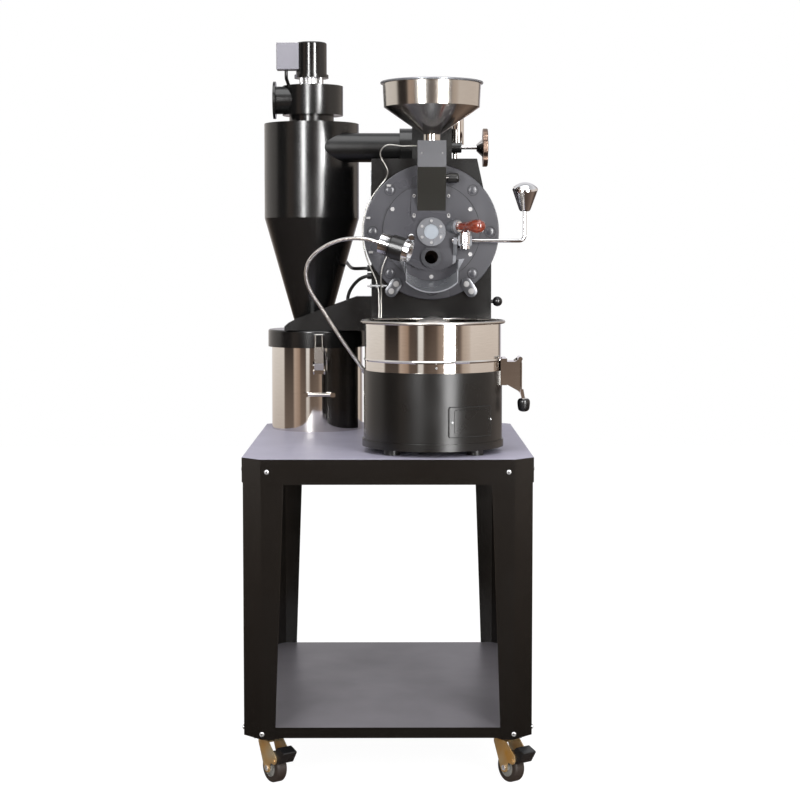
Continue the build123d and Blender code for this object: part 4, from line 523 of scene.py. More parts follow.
class Studio:
    """Camera, floor, soft lights and the room that polished parts mirror."""

    # What the lights point at, in millimetres
    AIM: Point = (0, 0, 950)
    FLOOR_HALF = 6.0
    FLOOR_Z = -0.0005
    # Light of the room on rough surfaces
    ROOM_LIGHT = 0.48
    # How bright the camera sees the floor, and how much that outweighs its shading
    PAPER_GLOW = 1.13
    PAPER_SHARE = 0.85

    fit = CameraFit()

    def __init__(self, library: MaterialLibrary) -> None:
        """Take the library of materials."""
        self.library = library

    def build(self) -> None:
        """Set up everything that is not part of the object."""
        self._camera()
        self._floor()
        self._world()
        for light in LIGHTS:
            self._area(light)
        scene = bpy.context.scene
        scene.view_settings.view_transform = "Standard"
        scene.view_settings.look = "None"

    def _camera(self) -> None:
        """Put the camera where the photo was taken from, and make it the scene's."""
        data = bpy.data.cameras.new("Photo camera")
        data.sensor_fit = "HORIZONTAL"
        data.angle = math.radians(self.fit.field_of_view)
        data.shift_y = self.fit.shift_up
        data.clip_end = 50.0
        camera = bpy.data.objects.new("Photo camera", data)
        camera.location = Vector(self.fit.place) * MM
        camera.rotation_euler = (math.radians(90 - self.fit.pitch_down), 0, math.radians(-self.fit.yaw_right))
        bpy.context.scene.collection.objects.link(camera)
        bpy.context.scene.camera = camera

    def _floor(self) -> None:
        """Lay the studio's floor just under the casters."""
        bm = bmesh.new()
        bmesh.ops.create_grid(bm, x_segments=1, y_segments=1, size=self.FLOOR_HALF)
        mesh = bpy.data.meshes.new("Studio floor")
        bm.to_mesh(mesh)
        bm.free()
        mesh.materials.append(self._paper())
        floor = bpy.data.objects.new("Studio floor", mesh)
        floor.visible_glossy = False
        floor.location.z = self.FLOOR_Z
        bpy.context.scene.collection.objects.link(floor)

    def _paper(self) -> bpy.types.Material:
        """Make pale paper that the camera sees almost white, with a faint shadow under the cart.

        Returns:
            The floor's material.
        """
        material = bpy.data.materials.new("Pale studio paper")
        material.use_nodes = True
        tree = material.node_tree
        tree.nodes.clear()
        lit = add_node(tree, "BsdfDiffuse", Color=linear("#f6f6f6")).outputs[0]
        white = add_node(tree, "Emission", Color=linear("#ffffff"), Strength=self.PAPER_GLOW).outputs[0]
        share = add_node(tree, "Math", {"operation": "MULTIPLY"}, i1=self.PAPER_SHARE,
                         i0=add_node(tree, "LightPath").outputs["Is Camera Ray"]).outputs[0]
        both = add_node(tree, "MixShader", Fac=share, i1=lit, i2=white).outputs[0]
        add_node(tree, "OutputMaterial", Surface=both)
        return material

    def _area(self, light: SoftLight) -> None:
        """Add a soft light that faces the machine.

        Args:
            light: Its place, size and power, and which rays see it.
        """
        data = bpy.data.lights.new(light.name, "AREA")
        data.shape = "RECTANGLE"
        data.size, data.size_y = (side * MM for side in light.size)
        data.energy = light.power
        lamp = bpy.data.objects.new(light.name, data)
        lamp.location = Vector(light.place) * MM
        aim = Vector(self.AIM) * MM - lamp.location
        lamp.rotation_euler = aim.to_track_quat("-Z", "Y").to_euler()
        lamp.visible_camera = False
        lamp.visible_diffuse = light.diffuse
        lamp.visible_glossy = light.glossy
        bpy.context.scene.collection.objects.link(lamp)

    def _world(self) -> None:
        """White to the camera; polished parts mirror a room of pale and brown uprights."""
        world = bpy.data.worlds.new("Studio room")
        world.use_nodes = True
        tree = world.node_tree
        tree.nodes.clear()
        parts = add_node(tree, "SeparateXYZ", Vector=add_node(tree, "TexCoord").outputs["Generated"]).outputs
        front = add_node(tree, "Math", {"operation": "MULTIPLY"}, i0=parts["Y"], i1=-1.0).outputs[0]
        turn = add_node(tree, "Math", {"operation": "ARCTAN2"}, i0=parts["X"], i1=front).outputs[0]
        along = add_node(tree, "MapRange", Value=turn, i1=-math.pi, i2=math.pi).outputs["Result"]
        walls = self._ramp(tree, along, [((turn_deg + 180) / 360, code) for turn_deg, code in ROOM_WALLS])
        tall = add_node(tree, "MapRange", Value=parts["Z"], i1=-1.0, i2=1.0).outputs["Result"]
        ends = self._ramp(tree, tall, ROOM_ENDS)
        share = self._ramp(tree, tall, [(0.0, "#ffffff"), (0.42, "#ffffff"), (0.48, "#000000"),
                                        (0.68, "#000000"), (0.82, "#ffffff")])
        room = add_node(tree, "Mix", {"data_type": "RGBA"}, i0=share, i6=walls, i7=ends).outputs[2]
        path = add_node(tree, "LightPath").outputs
        seen = add_node(tree, "Background", Color=linear("#ffffff"), Strength=1.0).outputs[0]
        shown = add_node(tree, "Background", Color=room, Strength=1.0).outputs[0]
        soft = add_node(tree, "Background", Color=linear("#ffffff"), Strength=self.ROOM_LIGHT).outputs[0]
        shiny = add_node(tree, "MixShader", Fac=path["Is Glossy Ray"], i1=soft, i2=shown).outputs[0]
        final = add_node(tree, "MixShader", Fac=path["Is Camera Ray"], i1=shiny, i2=seen).outputs[0]
        add_node(tree, "OutputWorld", Surface=final)
        bpy.context.scene.world = world

    @staticmethod
    def _ramp(tree: Tree, fac: Socket, stops: Sequence[tuple[float, str]]) -> Socket:
        """Add a colour ramp.

        Args:
            tree: Node tree to add to.
            fac: Socket with the place on the ramp.
            stops: Places from 0 to 1 with their hex colours.
        Returns:
            Socket with the ramp's colour.
        """
        node = add_node(tree, "ValToRGB", Fac=fac)
        elements = node.color_ramp.elements
        while len(elements) < len(stops):
            elements.new(0.5)
        for element, (at, code) in zip(elements, stops):
            element.position = at
            element.color = linear(code)
        return node.outputs["Color"]


# The finish of every CAD node that shows only one, by the part of the machine it belongs to
NODE_FINISHES: dict[str, dict[str, Finish]] = {
    "cart": {"cart_legs": CART_COAT, "caster_plates": DARK_ZINC},
    "bin": {"bin_base": SKIRT_COAT, "bin_skirt": SKIRT_COAT, "bin_floor": BRUSHED_STEEL, "stirrer": BRUSHED_STEEL,
            "stirrer_motor": CASING_COAT, "cooling_fan": BLACK_PLASTIC, "access_door": SKIRT_COAT,
            "gate_chute": POLISHED_STEEL},
    "front": {"face_plate": PLATE_ENAMEL, "sight_glass": HAZED_GLASS, "door_lever": CHROME,
              "discharge_spout": SATIN_NICKEL, "plate_bearings": SATIN_NICKEL, "trier": CHROME,
              "trier_handle": LACQUERED_WOOD, "gooseneck": CHROME},
    "back": {"lower_body": CASING_COAT, "drum_casing": CASING_COAT, "drum": BRUSHED_STEEL, "heater": DARK_ZINC,
             "drum_motor": CASING_COAT, "body_knob": BLACK_PLASTIC, "exhaust_box": CASING_COAT,
             "damper_plate": BRUSHED_STEEL, "vent_stack": POLISHED_STEEL},
    "chaff": {"blower_housing": CASING_COAT, "blower_impeller": BRUSHED_STEEL, "barrel": POLISHED_STEEL,
              "barrel_lid": CASING_COAT, "barrel_latch": BRUSHED_STEEL, "chaff_duct": CASING_COAT}}


class SubAssembly(ABC):
    """A part of the machine that the scene dresses or trims."""

    def __init__(self, bench: Bench) -> None:
        """Take the bench on which pieces are made."""
        self.bench = bench

    @abstractmethod
    def build(self) -> None:
        """Dress the part's nodes or add its pieces."""


@dataclass(frozen=True)
class SplitSize:
    """Where the finish changes on CAD nodes that have two or more, in millimetres.

    Heights are counted from the floor. The place of a face on the front is its y.
    """

    # Casters
    swivel_x: float = 245.0
    swivel_y: float = 344.0
    trail: float = 18.0
    tyre_radius: float = 31.5
    hub_radius: float = 20.6
    axle_nut: float = 5.6
    # Front plate
    roast_x: float = 95.0
    port_face: float = -80.0
    port_z: float = 1085.4
    port_radius: float = 23.6
    strap: tuple[float, float] = (142.5, 151.5)
    # Chute
    chute_knee: float = 1279.0
    chute_front: float = -78.8
    chute_half: float = 31.5
    flange_top: float = 1225.5
    flange_face: float = -76.1
    # Hopper
    hopper_rim: float = 1460.0
    hopper_y: float = -102.0
    hopper_radius: float = 108.0
    # Cyclone and motor
    cyclone_x: float = -183.0
    cyclone_y: float = 262.0
    cyclone_reach: float = 113.1
    pipe_z: float = 1341.0
    pipe_reach: float = 35.0
    pipe_left: float = -182.0
    pipe_back: float = 226.0
    motor_base: float = 1508.0
    box_right: float = -217.0
    # Lamp
    lamp_back: Point = (-18.5, -197.4, 1116.1)
    lamp_axis: Point = (0.9408, -0.2467, -0.2885)
    lamp_cap: float = 18.0
    lamp_bezel: float = 52.0


class SplitNodes(SubAssembly):
    """Dresses CAD nodes whose single solid shows more than one finish."""

    # Each caster's side of the cart, and where its trail points in degrees
    HEADINGS = {"front_left": (-1, -1, -55.0), "front_right": (1, -1, -55.0), "rear_left": (-1, 1, 155.0),
                "rear_right": (1, 1, 55.0)}
    # Nodes whose second finish starts at a plane: the finishes, the plane's axis from 0 to 2 and its place
    # in millimetres, and the side that takes the second finish
    PLANES: dict[str, tuple[Finish, Finish, int, float, int]] = {
        # The top faces of the cart's top and lower shelf take the painted reflection of the pale room
        "cart_top": (CART_COAT, TOP_REFLECTION_PAINT, 2, 675.5, 1), "lower_shelf": (CART_COAT, SHELF_REFLECTION_PAINT, 2, 121.4, 1),
        "face_disc": (PLATE_ENAMEL, SCREW_ZINC, 1, -73.1, -1), "sight_ring": (SATIN_NICKEL, SCREW_ZINC, 1, -80.1, -1),
        "slide_gate": (BRUSHED_STEEL, BLACK_PLASTIC, 0, 127.5, 1),
        "bin_bowl": (POLISHED_STEEL, BRUSHED_STEEL, 2, 948.0, 1),
        "gate_flap": (POLISHED_STEEL, BLACK_PLASTIC, 2, 786.0, -1), "handwheel": (BRONZE, CHROME, 0, 219.0, -1),
        "leads": (CABLE_SHEATH, WIRE_BRAID, 1, 100.0, -1)}
    size = SplitSize()

    def build(self) -> None:
        """Dress the nodes that a plane divides, then those with a pick of their own."""
        for node, (first, second, axis, edge, side) in self.PLANES.items():
            self.bench.dress_split(node, (first, second), lambda p, a=axis, e=edge, d=side: int((p[a] - e) * d > 0))
        self._casters()
        self._front()
        self._feed()
        self._tower()
        self._lamp()

    def _casters(self) -> None:
        """Tell hub from tyre and nut from fork by the distance from the axle."""
        s = self.size
        for corner, (sx, sy, heading) in self.HEADINGS.items():
            self.bench.dress(f"brake_pedal_{corner}", BLACK_PLASTIC)
            along = Vector((math.cos(math.radians(heading)), math.sin(math.radians(heading)), 0))
            axle = Vector((sx * s.swivel_x, sy * s.swivel_y, s.tyre_radius)) + along * s.trail
            across = along.cross(Vector(UP))
            for node, finishes, reach in ((f"caster_wheel_{corner}", (TYRE_RUBBER, HUB_NYLON), s.hub_radius),
                                          (f"caster_fork_{corner}", (YELLOW_ZINC, SCREW_ZINC), s.axle_nut)):
                self.bench.dress_split(node, finishes, lambda p, a=axle, n=across, r=reach:
                                       int(((p - a) - n * (p - a).dot(n)).length < r))

    def _front(self) -> None:
        """Tell the sampling port and the hinge strap from the door's casting."""
        s = self.size
        self.bench.dress_split("discharge_door", (PLATE_ENAMEL, DARK_STEEL, SATIN_NICKEL), lambda p: (
            1 if p.y < s.port_face and math.hypot(p.x - s.roast_x, p.z - s.port_z) < s.port_radius
            else 2 * int(s.strap[0] < p.x < s.strap[1])))

    def _feed(self) -> None:
        """Dress the chute, and the hopper with its rim."""
        s = self.size
        # The chute's downward-facing lower part takes painted shade, its upper part painted light
        self.bench.dress_split("feed_chute", (CHUTE_SHADED, CHUTE_LIT, PLATE_ENAMEL, SCREW_ZINC), self._chute)
        # The rim takes the darker satin nickel: a grey line of painted shade and painted reflection across the
        # steel's bright bands
        self.bench.dress_split("hopper", (HOPPER_STEEL, SATIN_NICKEL), lambda p: int(
            p.z > s.hopper_rim and math.hypot(p.x - s.roast_x, p.y - s.hopper_y) > s.hopper_radius))

    def _chute(self, p: Vector) -> int:
        """Pick the finish of one face of the chute.

        Args:
            p: Middle of the face in millimetres.
        Returns:
            The finish's place in the list.
        """
        s = self.size
        if p.z > s.chute_knee:
            return 1
        if p.z > s.flange_top or p.y < s.chute_front:
            return 0
        return 3 if p.y < s.flange_face and abs(p.x - s.roast_x) > s.chute_half else 2

    def _tower(self) -> None:
        """Dress the blower's motor, and the cyclone with its side pipe."""
        s = self.size
        self.bench.dress_split("blower_motor", (MOTOR_PAINT, BOX_PAINT, SCREW_ZINC), lambda p: (
            2 if p.z < s.motor_base else int(p.x < s.box_right)))
        # The side pipe takes the darkened paint, painted shade that lets it fade against the cyclone
        self.bench.dress_split("cyclone", (CASING_COAT, PIPE_SHADE_COAT), lambda p: int(
            abs(p.z - s.pipe_z) < s.pipe_reach and p.x > s.pipe_left and p.y < s.pipe_back and
            math.hypot(p.x - s.cyclone_x, p.y - s.cyclone_y) > s.cyclone_reach))

    def _lamp(self) -> None:
        """Dress the lamp's head between its bright cap and bezel."""
        s = self.size
        back, axis = Vector(s.lamp_back), Vector(s.lamp_axis).normalized()
        self.bench.dress_split("lamp_head", (BLACK_PLASTIC, CHROME), lambda p: int(
            not s.lamp_cap < (p - back).dot(axis) < s.lamp_bezel))


class Head(Enum):
    """Kinds of screw head."""

    HEX = "hexagon"
    PAN = "pan with a cross slot"
    CAP = "cap with a hexagon socket"


# Turned heads, as shares of their radius and height
PAN_PROFILE: Profile = ((1, 0), (1, 0.35), (0.9, 0.7), (0.6, 1), (0, 1))
CAP_PROFILE: Profile = ((1, 0), (1, 0.85), (0.88, 1), (0, 1))


@dataclass(frozen=True)
class ScrewSize:
    """Size of one kind of screw head in millimetres."""

    radius: float = 4.0
    height: float = 2.5
    head: Head = Head.PAN
    # How far the head goes into its seat
    sunk: float = 0.4
    washer_height: float = 0.8
    stud_end: float = 1.2
    # Washer, stud, slots and socket as shares of the head's radius
    washer: float = 1.25
    stud: float = 0.5
    slot_length: float = 1.2
    slot_width: float = 0.26
    socket: float = 0.52
    # Height of the dark slots and socket, how deep the slots' middle lies and where the socket starts
    slot_height: float = 0.8
    slot_middle: float = 0.25
    socket_height: float = 0.7
    socket_depth: float = 0.5

    def profile(self, shares: Profile) -> list[tuple[float, float]]:
        """Scale a head's profile to this size."""
        tall = self.height + self.sunk
        return [(self.radius * across, tall * up) for across, up in shares]


def add_head(heads: Mesh, drives: Mesh, place: Vector, out: Vector, size: ScrewSize) -> None:
    """Add one screw head and its drive.

    Args:
        heads: Mesh that takes the head.
        drives: Mesh that takes the slots or socket, drawn dark as painted shade.
        place: Centre of the seat in millimetres.
        out: Unit vector in which the head stands out.
        size: Size and kind of the head.
    """
    seat = place - out * size.sunk
    face = place + out * size.height
    radius = size.radius
    tall = size.height + size.sunk
    if size.head is Head.HEX:
        add_cylinder(heads, seat, out, radius * size.washer, size.washer_height + size.sunk, sides=24)
        add_cylinder(heads, seat, out, radius, tall, sides=6)
        add_cylinder(heads, seat, out, radius * size.stud, tall + size.stud_end, sides=20)
    elif size.head is Head.PAN:
        add_turned(heads, seat, out, size.profile(PAN_PROFILE), steps=24)
        for turn in (0, math.pi / 2):
            add_block(drives, face - out * size.slot_middle,
                      (radius * size.slot_length, radius * size.slot_width, size.slot_height),
                      facing((0, 0, 0), out) @ Matrix.Rotation(turn, 4, "Z"))
    else:
        add_turned(heads, seat, out, size.profile(CAP_PROFILE), steps=28)
        add_cylinder(drives, face - out * size.socket_depth, out, radius * size.socket, size.socket_height, sides=6)


def add_screws(bench: Bench, name: str, places: Iterable[Sequence[float]], axis: Sequence[float],
               size: ScrewSize) -> None:
    """Add a set of equal zinc-plated screw heads, with dark pieces of painted shade in their drives.

    Args:
        bench: Where pieces are made.
        name: Name of the set.
        places: Centres of the seats in millimetres.
        axis: Direction in which the heads stand out.
        size: Size and kind of the heads.
    """
    heads = bmesh.new()
    drives = bmesh.new()
    out = Vector(axis).normalized()
    for place in places:
        add_head(heads, drives, Vector(place), out, size)
    bench.piece(name, heads, SCREW_ZINC)
    if drives.verts:
        bench.piece(f"{name} drives", drives, RECESS_SHADE)
    else:
        drives.free()


def ring_places(centre: Sequence[float], radius: float, turns: Iterable[float],
                plane: str = "xz") -> list[Point]:
    """Return points on a circle.

    Args:
        centre: Centre in millimetres.
        radius: Radius in millimetres.
        turns: Angles in degrees.
        plane: "xz" for an upright circle or "xy" for a flat one.
    Returns:
        One point for each angle.
    """
    x, y, z = centre
    points = []
    for turn in turns:
        a, b = radius * math.cos(math.radians(turn)), radius * math.sin(math.radians(turn))
        points.append((x + a, y, z + b) if plane == "xz" else (x + a, y + b, z))
    return points


def mirrored(x: float, y: float, z: float) -> list[Point]:
    """Return a point and its mirror image across the middle of the cart."""
    return [(-x, y, z), (x, y, z)]


def above_deck(places: Iterable[Point]) -> list[Point]:
    """Lift points whose heights are counted from the cart's top."""
    return [(x, y, z + DECK) for x, y, z in places]


@dataclass(frozen=True)
class CartTrimSize:
    """Cart screws in millimetres."""

    front: float = -400.0
    side: float = 300.0
    apron_z: float = 650.0
    apron_x: float = 246.0
    foot_z: float = 110.0
    foot_x: float = 258.0
    side_y: float = -340.0
    screw: ScrewSize = ScrewSize(5.0, 2.2)


class CartTrim(SubAssembly):
    """Screws that hold the cart's apron, legs and shelf."""

    size = CartTrimSize()

    def build(self) -> None:
        """Add the screw sets of the four sides."""
        s = self.size
        for label, y, out in (("front", s.front, -1), ("rear", -s.front, 1)):
            add_screws(self.bench, f"Cart {label} screws", [*mirrored(s.apron_x, y, s.apron_z),
                       *mirrored(s.foot_x, y, s.foot_z)], (0, out, 0), s.screw)
        for label, x in (("left", -s.side), ("right", s.side)):
            add_screws(self.bench, f"Cart {label} screws", [(x, y, z) for y in (s.side_y, -s.side_y)
                       for z in (s.apron_z, s.foot_z)], (x, 0, 0), s.screw)


@dataclass(frozen=True)
class FrontSize:
    """Front plate fittings in millimetres, heights above the cart's top.

    The fields go from the plate itself to bosses, clamp tabs, wire clips, stud, sleeve and gland.
    """

    axis_x: float = 95.0
    axis_z: float = 465.0
    plate_y: float = -70.0
    disc_y: float = -73.0
    disc_seam: float = 106.8
    seam_width: float = 0.9
    seam_deep: float = 0.3
    seam_proud: float = 0.25
    boss_ring: float = 129.0
    boss_turns: tuple[int, ...] = (0, 45, 90, 135, 180, 225, 270, 315)
    boss_seam: float = 11.2
    boss_profile: Profile = (
        (10.6, -0.3), (10.6, 0.4), (9.8, 1.4), (7.4, 2.3), (3.8, 2.8), (0, 2.9))
    # Above this height over the axis the chute covers the boss
    hidden_boss: float = 128.0
    tab_ring: float = 148.0
    tab_turns: tuple[float, float] = (-56.0, -124.0)
    tab_length: float = 46.0
    tab_width: float = 27.0
    tab_height: float = 4.0
    tab_sunk: float = 0.2
    tab_edge: float = 0.8
    tab_bolt: ScrewSize = ScrewSize(5.2, 3.6, Head.HEX)
    clips: tuple[tuple[float, float], ...] = ((1.5, 566.0), (-43.5, 495.0), (-38.0, 420.0))
    clip_block: Point = (9.0, 6.0, 5.0)
    clip_out: float = 2.5
    stud_left: float = -46.0
    stud_y: float = -64.0
    stud_z: float = 346.0
    stud_length: float = 44.0
    stud_radius: float = 2.2
    # Places of its nuts as shares of the stud's length, and their radius and height
    stud_nuts: tuple[float, ...] = (0.14, 0.42, 0.7)
    nut_radius: float = 4.6
    nut_height: float = 4.5
    lever_x: float = 168.0
    lever_y: float = -88.0
    lever_low: float = 426.5
    lever_profile: Profile = (
        (0, 0), (11.6, 0), (12.4, 0.8), (12.4, 9), (11.4, 9.8), (11.4, 10.6), (14.6, 11.4), (14.6, 30), (13.4, 31.2),
        (13.4, 36.5), (12, 38), (0, 38))
    gland_x: float = 51.0
    gland_y: float = -72.6
    gland_z: float = 451.6
    gland_profile: Profile = ((8.2, 0), (8.2, 2), (6.6, 3), (6.6, 7), (5.4, 8.4), (0, 8.4))


class FrontPlate(SubAssembly):
    """Clamp tabs, seams, bosses, wire clips, lever sleeve and probe gland of the front plate."""

    size = FrontSize()

    def build(self) -> None:
        """Add every small fitting of the plate."""
        s = self.size
        z = DECK + s.axis_z
        bosses = ring_places((s.axis_x, s.plate_y, z), s.boss_ring, s.boss_turns)
        self._tabs(z)
        self._seams(z, bosses)
        self._domes([place for place in bosses if place[2] < z + s.hidden_boss])
        self._clips()
        lever = bmesh.new()
        add_turned(lever, (s.lever_x, s.lever_y, DECK + s.lever_low), UP, s.lever_profile, steps=40)
        self.bench.piece("Lever bearing sleeve", lever, CHROME)
        gland = bmesh.new()
        add_turned(gland, (s.gland_x, s.gland_y, DECK + s.gland_z), FRONT, s.gland_profile, steps=32)
        self.bench.piece("Probe gland", gland, CHROME, smooth=30)

    def _seams(self, z: float, bosses: Sequence[Point]) -> None:
        """Add the lines of painted shade round the inner disc and round each boss.

        Args:
            z: Height of the plate's axis in millimetres.
            bosses: Centres of the bosses in millimetres.
        """
        s = self.size
        seams = bmesh.new()
        self._seam(seams, (s.axis_x, s.disc_y, z), s.disc_seam)
        for place in bosses:
            self._seam(seams, place, s.boss_seam)
        self.bench.piece("Plate seams", seams, RECESS_SHADE)

    def _seam(self, bm: Mesh, centre: Sequence[float], radius: float) -> None:
        """Add a thin ring of painted shade that shows where two castings meet.

        Args:
            bm: Mesh to add to.
            centre: Centre in millimetres.
            radius: Inner radius in millimetres.
        """
        s = self.size
        outer = radius + s.seam_width
        add_turned(bm, centre, FRONT, [(radius, -s.seam_deep), (radius, s.seam_proud), (outer, s.seam_proud),
                                       (outer, -s.seam_deep), (radius, -s.seam_deep)], steps=64)

    def _domes(self, bosses: Sequence[Point]) -> None:
        """Add a low dome on each boss.

        Args:
            bosses: Centres of the bosses in millimetres.
        """
        domes = bmesh.new()
        for place in bosses:
            add_turned(domes, place, FRONT, self.size.boss_profile, steps=40)
        self.bench.piece("Plate bosses", domes, PLATE_ENAMEL, smooth=50)

    def _clips(self) -> None:
        """Add the clips over the probe wire, and the clamp's stud with its nuts."""
        s = self.size
        clips = bmesh.new()
        for x, height in s.clips:
            add_block(clips, (x, s.disc_y - s.clip_out, DECK + height), s.clip_block)
        stud = Vector((s.stud_left, s.stud_y, DECK + s.stud_z))
        add_cylinder(clips, stud, RIGHT, s.stud_radius, s.stud_length, sides=16)
        for share in s.stud_nuts:
            add_cylinder(clips, stud + Vector(RIGHT) * share * s.stud_length, RIGHT, s.nut_radius, s.nut_height,
                         sides=6)
        self.bench.piece("Wire clips and clamp stud", clips, SCREW_ZINC)

    def _tabs(self, z: float) -> None:
        """Add the oval clamp tabs over the plate's lower rim, each with two bolts.

        Args:
            z: Height of the plate's axis in millimetres.
        """
        s = self.size
        tabs = bmesh.new()
        bolts = []
        front = Vector(FRONT)
        half = (s.tab_length - s.tab_width) / 2
        for turn in map(math.radians, s.tab_turns):
            out = Vector((math.cos(turn), 0, math.sin(turn)))
            middle = Vector((s.axis_x, s.plate_y, z)) + out * s.tab_ring
            place = Matrix.Translation(middle * MM) @ Matrix((out, front.cross(out), front)).transposed().to_4x4()
            add_oval(tabs, place, half, s.tab_width / 2, (-s.tab_sunk, s.tab_height))
            bolts += [middle + out * half * side + front * s.tab_height for side in (-1, 1)]
        soften(tabs, s.tab_edge)
        self.bench.piece("Plate clamp tabs", tabs, DARK_STEEL)
        add_screws(self.bench, "Clamp tab bolts", bolts, FRONT, s.tab_bolt)


@dataclass(frozen=True)
class BinSize:
    """Cooling bin fittings in millimetres, heights above the cart's top."""

    x: float = 95.0
    y: float = -230.0
    # Turn, radius and height of the screw in the seam
    seam_screw: Point = (-88.5, 145.7, 182.8)
    seam_head: ScrewSize = ScrewSize(2.4, 1.6)
    door_face: float = 149.7
    line_radius: float = 149.5
    # Half the thickness of the lines on the door
    seam_thick: float = 0.7
    bead_thick: float = 0.9
    # Side, turn and height of the door's screws
    door_screws: tuple[tuple[str, float, float], ...] = (("left", -75.7, 72.0), ("right", -38.3, 75.0))
    door_head: ScrewSize = ScrewSize(2.6, 1.8)
    # First and last turn, lower and upper height of the lines on the door
    door_edge: tuple[int, int, float, float] = (-78, -38, 41.5, 103.0)
    door_bead: tuple[int, int, float, float] = (-73, -41, 48.5, 97.5)
    bracket_bolts: tuple[Point, ...] = ((234.5, -262.0, 168.0), (234.5, -262.0, 145.0))
    bracket_head: ScrewSize = ScrewSize(2.6, 2.2, Head.CAP)


class BinTrim(SubAssembly):
    """Screws of the cooling bin, and the lines of its door."""

    size = BinSize()

    def _on_wall(self, turn: float, radius: float, z: float) -> tuple[Point, Point]:
        """Find a point on the bin's round wall.

        Args:
            turn: Angle round the bin in degrees.
            radius: Distance from the bin's axis in millimetres.
            z: Height above the cart's top in millimetres.
        Returns:
            The point, and the direction that faces out there.
        """
        a = math.radians(turn)
        out = (math.cos(a), math.sin(a), 0.0)
        s = self.size
        return (s.x + radius * out[0], s.y + radius * out[1], DECK + z), out

    def _door_line(self, label: str, frame: tuple[int, int, float, float], thick: float, finish: Finish) -> None:
        """Lay a closed line on the curved door.

        Args:
            label: Name of the piece.
            frame: First and last turn in degrees, lower and upper height.
            thick: Radius of the line.
            finish: Its finish.
        """
        first, last, low, high = frame
        turns = list(range(first, last + 1, 2))
        route = [(turn, low) for turn in turns] + [(turn, high) for turn in reversed(turns)] + [(first, low)]
        path = [Vector(self._on_wall(turn, self.size.line_radius, z)[0]) for turn, z in route]
        mesh = bmesh.new()
        for here, there in zip(path, path[1:]):
            add_cylinder(mesh, here, there - here, thick, (there - here).length + thick / 2, sides=8)
        self.bench.piece(label, mesh, finish)

    def build(self) -> None:
        """Add the door's lines, then the screws of seam, door and gate bracket."""
        s = self.size
        # The door's seam is a line of painted shade; its bead is a raised line of casing coat
        self._door_line("Bin door seam", s.door_edge, s.seam_thick, RECESS_SHADE)
        self._door_line("Bin door bead", s.door_bead, s.bead_thick, CASING_COAT)
        place, out = self._on_wall(*s.seam_screw)
        add_screws(self.bench, "Bin seam screw", [place], out, s.seam_head)
        for label, turn, z in s.door_screws:
            place, out = self._on_wall(turn, s.door_face, z)
            add_screws(self.bench, f"Bin door {label} screw", [place], out, s.door_head)
        add_screws(self.bench, "Gate bracket bolts", above_deck(s.bracket_bolts), FRONT, s.bracket_head)


@dataclass(frozen=True)
class TowerSize:
    """Collar of the chaff tower in millimetres, heights above the cart's top."""

    x: float = -183.0
    y: float = 262.0
    collar_top: float = 725.0
    bolt_ring: float = 62.0
    bolt_turns: tuple[int, ...] = (22, 67, 112, 157, 202, 247, 292, 337)
    bolt: ScrewSize = ScrewSize(4.2, 3.2, Head.HEX)


class CycloneTower(SubAssembly):
    """Bolts of the collar between cyclone and blower."""

    size = TowerSize()

    def build(self) -> None:
        """Add the ring of bolts."""
        s = self.size
        places = ring_places((s.x, s.y, DECK + s.collar_top), s.bolt_ring, s.bolt_turns, "xy")
        add_screws(self.bench, "Collar bolts", places, UP, s.bolt)


@dataclass(frozen=True)
class FeedSize:
    """Bean feed fittings in millimetres, heights above the cart's top."""

    chute_screws: tuple[Point, ...] = ((72.7, -131.0, 633.4), (117.6, -131.0, 633.4))
    flange_bolts: tuple[Point, ...] = ((57.0, -76.0, 543.0), (132.6, -76.0, 543.0), (57.0, -76.0, 501.5),
                                       (132.6, -76.0, 501.5))
    chute_head: ScrewSize = ScrewSize(1.9, 1.2)
    flange_head: ScrewSize = ScrewSize(3.6, 3.0, Head.CAP)


class BeanFeed(SubAssembly):
    """Chute screws and flange bolts."""

    size = FeedSize()

    def build(self) -> None:
        """Add the feed's small pieces."""
        s = self.size
        add_screws(self.bench, "Chute screws", above_deck(s.chute_screws), FRONT, s.chute_head)
        add_screws(self.bench, "Chute flange bolts", above_deck(s.flange_bolts), FRONT, s.flange_head)


@dataclass(frozen=True)
class NeckSize:
    """Ribs of the flexible lamp neck in millimetres, heights above the cart's top."""

    route: tuple[Point, ...] = (
        (-46, -35, 150), (-60, -37, 165), (-80, -41, 193), (-103, -47.5, 226.1), (-125.8, -55.6, 262.2),
        (-146.6, -65.9, 296.4), (-164.2, -77.9, 322.6), (-176.7, -93, 348.7), (-180.2, -107.9, 374.7),
        (-173.8, -124.1, 398.6), (-155.7, -140, 419.4), (-129.7, -155.1, 436.2), (-99, -169.1, 447),
        (-68.5, -181.4, 449.9), (-41, -191.5, 447), (-18.5, -197.4, 440.1))
    tube: float = 4.0
    # Half a rib's width, and its height over the tube
    rib: float = 1.0
    proud: float = 0.35
    sunk: float = 0.2
    pitch: float = 3.2
    # How much of each leg of the route its rounded corner takes
    share: float = 0.45


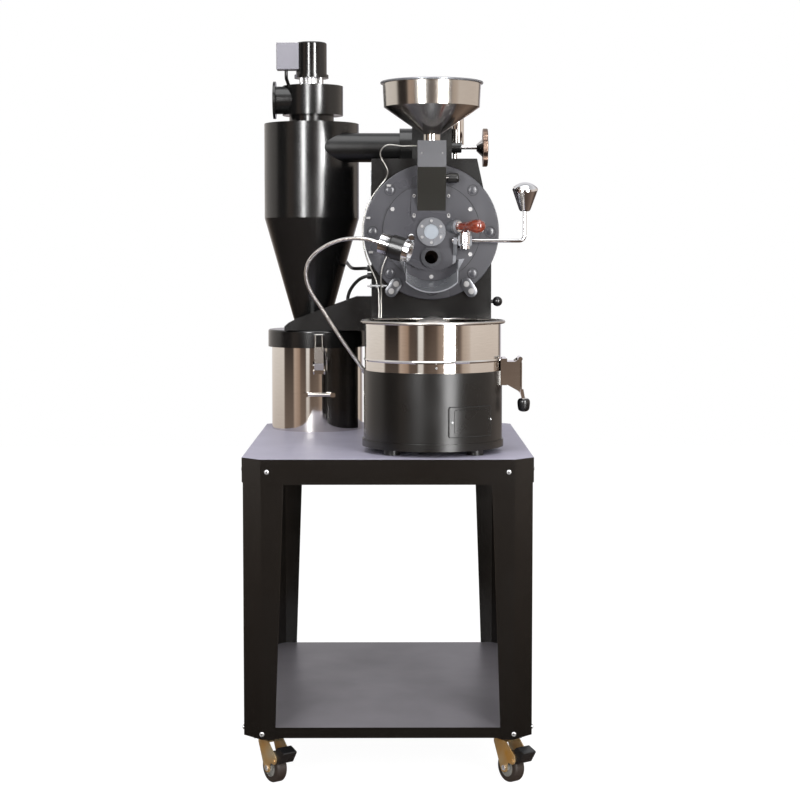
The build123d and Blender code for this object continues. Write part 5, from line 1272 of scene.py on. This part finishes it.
class LampNeck(SubAssembly):
    """Wound ribs along the lamp's gooseneck."""

    size = NeckSize()

    def _centreline(self) -> list[Vector]:
        """Round the corners of the neck's route as in the CAD sweep.

        Returns:
            Close points along the neck in millimetres.
        """
        s = self.size
        route = [Vector((x, y, z + DECK)) for x, y, z in s.route]
        points = [route[0]]
        for before, here, after in zip(route, route[1:], route[2:]):
            reach = s.share * min((here - before).length, (after - here).length)
            start = here + (before - here).normalized() * reach
            end = here + (after - here).normalized() * reach
            points += [start.lerp(here, t).lerp(here.lerp(end, t), t) for t in (0.0, 0.25, 0.5, 0.75, 1.0)]
        return points + [route[-1]]

    def build(self) -> None:
        """Add one ring for each turn of the winding."""
        s = self.size
        points = self._centreline()
        ribs = bmesh.new()
        due = s.pitch * 2
        for a, b in zip(points, points[1:]):
            step = (b - a).length
            while due < step:
                add_turned(ribs, a.lerp(b, due / step), b - a, [
                    (s.tube - s.sunk, -s.rib), (s.tube + s.proud, -s.rib * 0.5),
                    (s.tube + s.proud, s.rib * 0.5), (s.tube - s.sunk, s.rib)], steps=14)
                due += s.pitch
            due -= step
        self.bench.piece("Gooseneck ribs", ribs, BRUSHED_STEEL, smooth=60)


@dataclass(frozen=True)
class CasingHighlightSize:
    """Light strip on the drum casing's edge, a painted highlight, in millimetres, height above the cart's top."""

    strip_at: Point = (-37.6, -42.0, 572.0)
    strip_size: Point = (1.6, 24.0, 56.0)
    strip_edge: float = 0.4


class CasingEdgeHighlight(SubAssembly):
    """A light strip on the casing's left wall, near the front plate: a painted highlight along the wall's edge."""

    size = CasingHighlightSize()

    def build(self) -> None:
        """Add the strip."""
        strip = bmesh.new()
        add_block(strip, above_deck([self.size.strip_at])[0], self.size.strip_size)
        soften(strip, self.size.strip_edge)
        self.bench.piece("Casing edge highlight strip", strip, SATIN_NICKEL)


def main() -> None:
    """Load the frame, dress it and add the pieces round it."""
    logging.basicConfig(level=logging.INFO, format="%(name)s: %(message)s")
    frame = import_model()
    library = MaterialLibrary()
    bench = Bench(frame, library)
    for part, finishes in NODE_FINISHES.items():
        LOG.info("dressing the %s", part)
        for node, finish in finishes.items():
            bench.dress(node, finish)
    for kind in (SplitNodes, CartTrim, FrontPlate, BinTrim, CycloneTower, BeanFeed, LampNeck, CasingEdgeHighlight):
        LOG.info("building %s", kind.__name__)
        kind(bench).build()
    Studio(library).build()


if __name__ == "__main__":
    main()
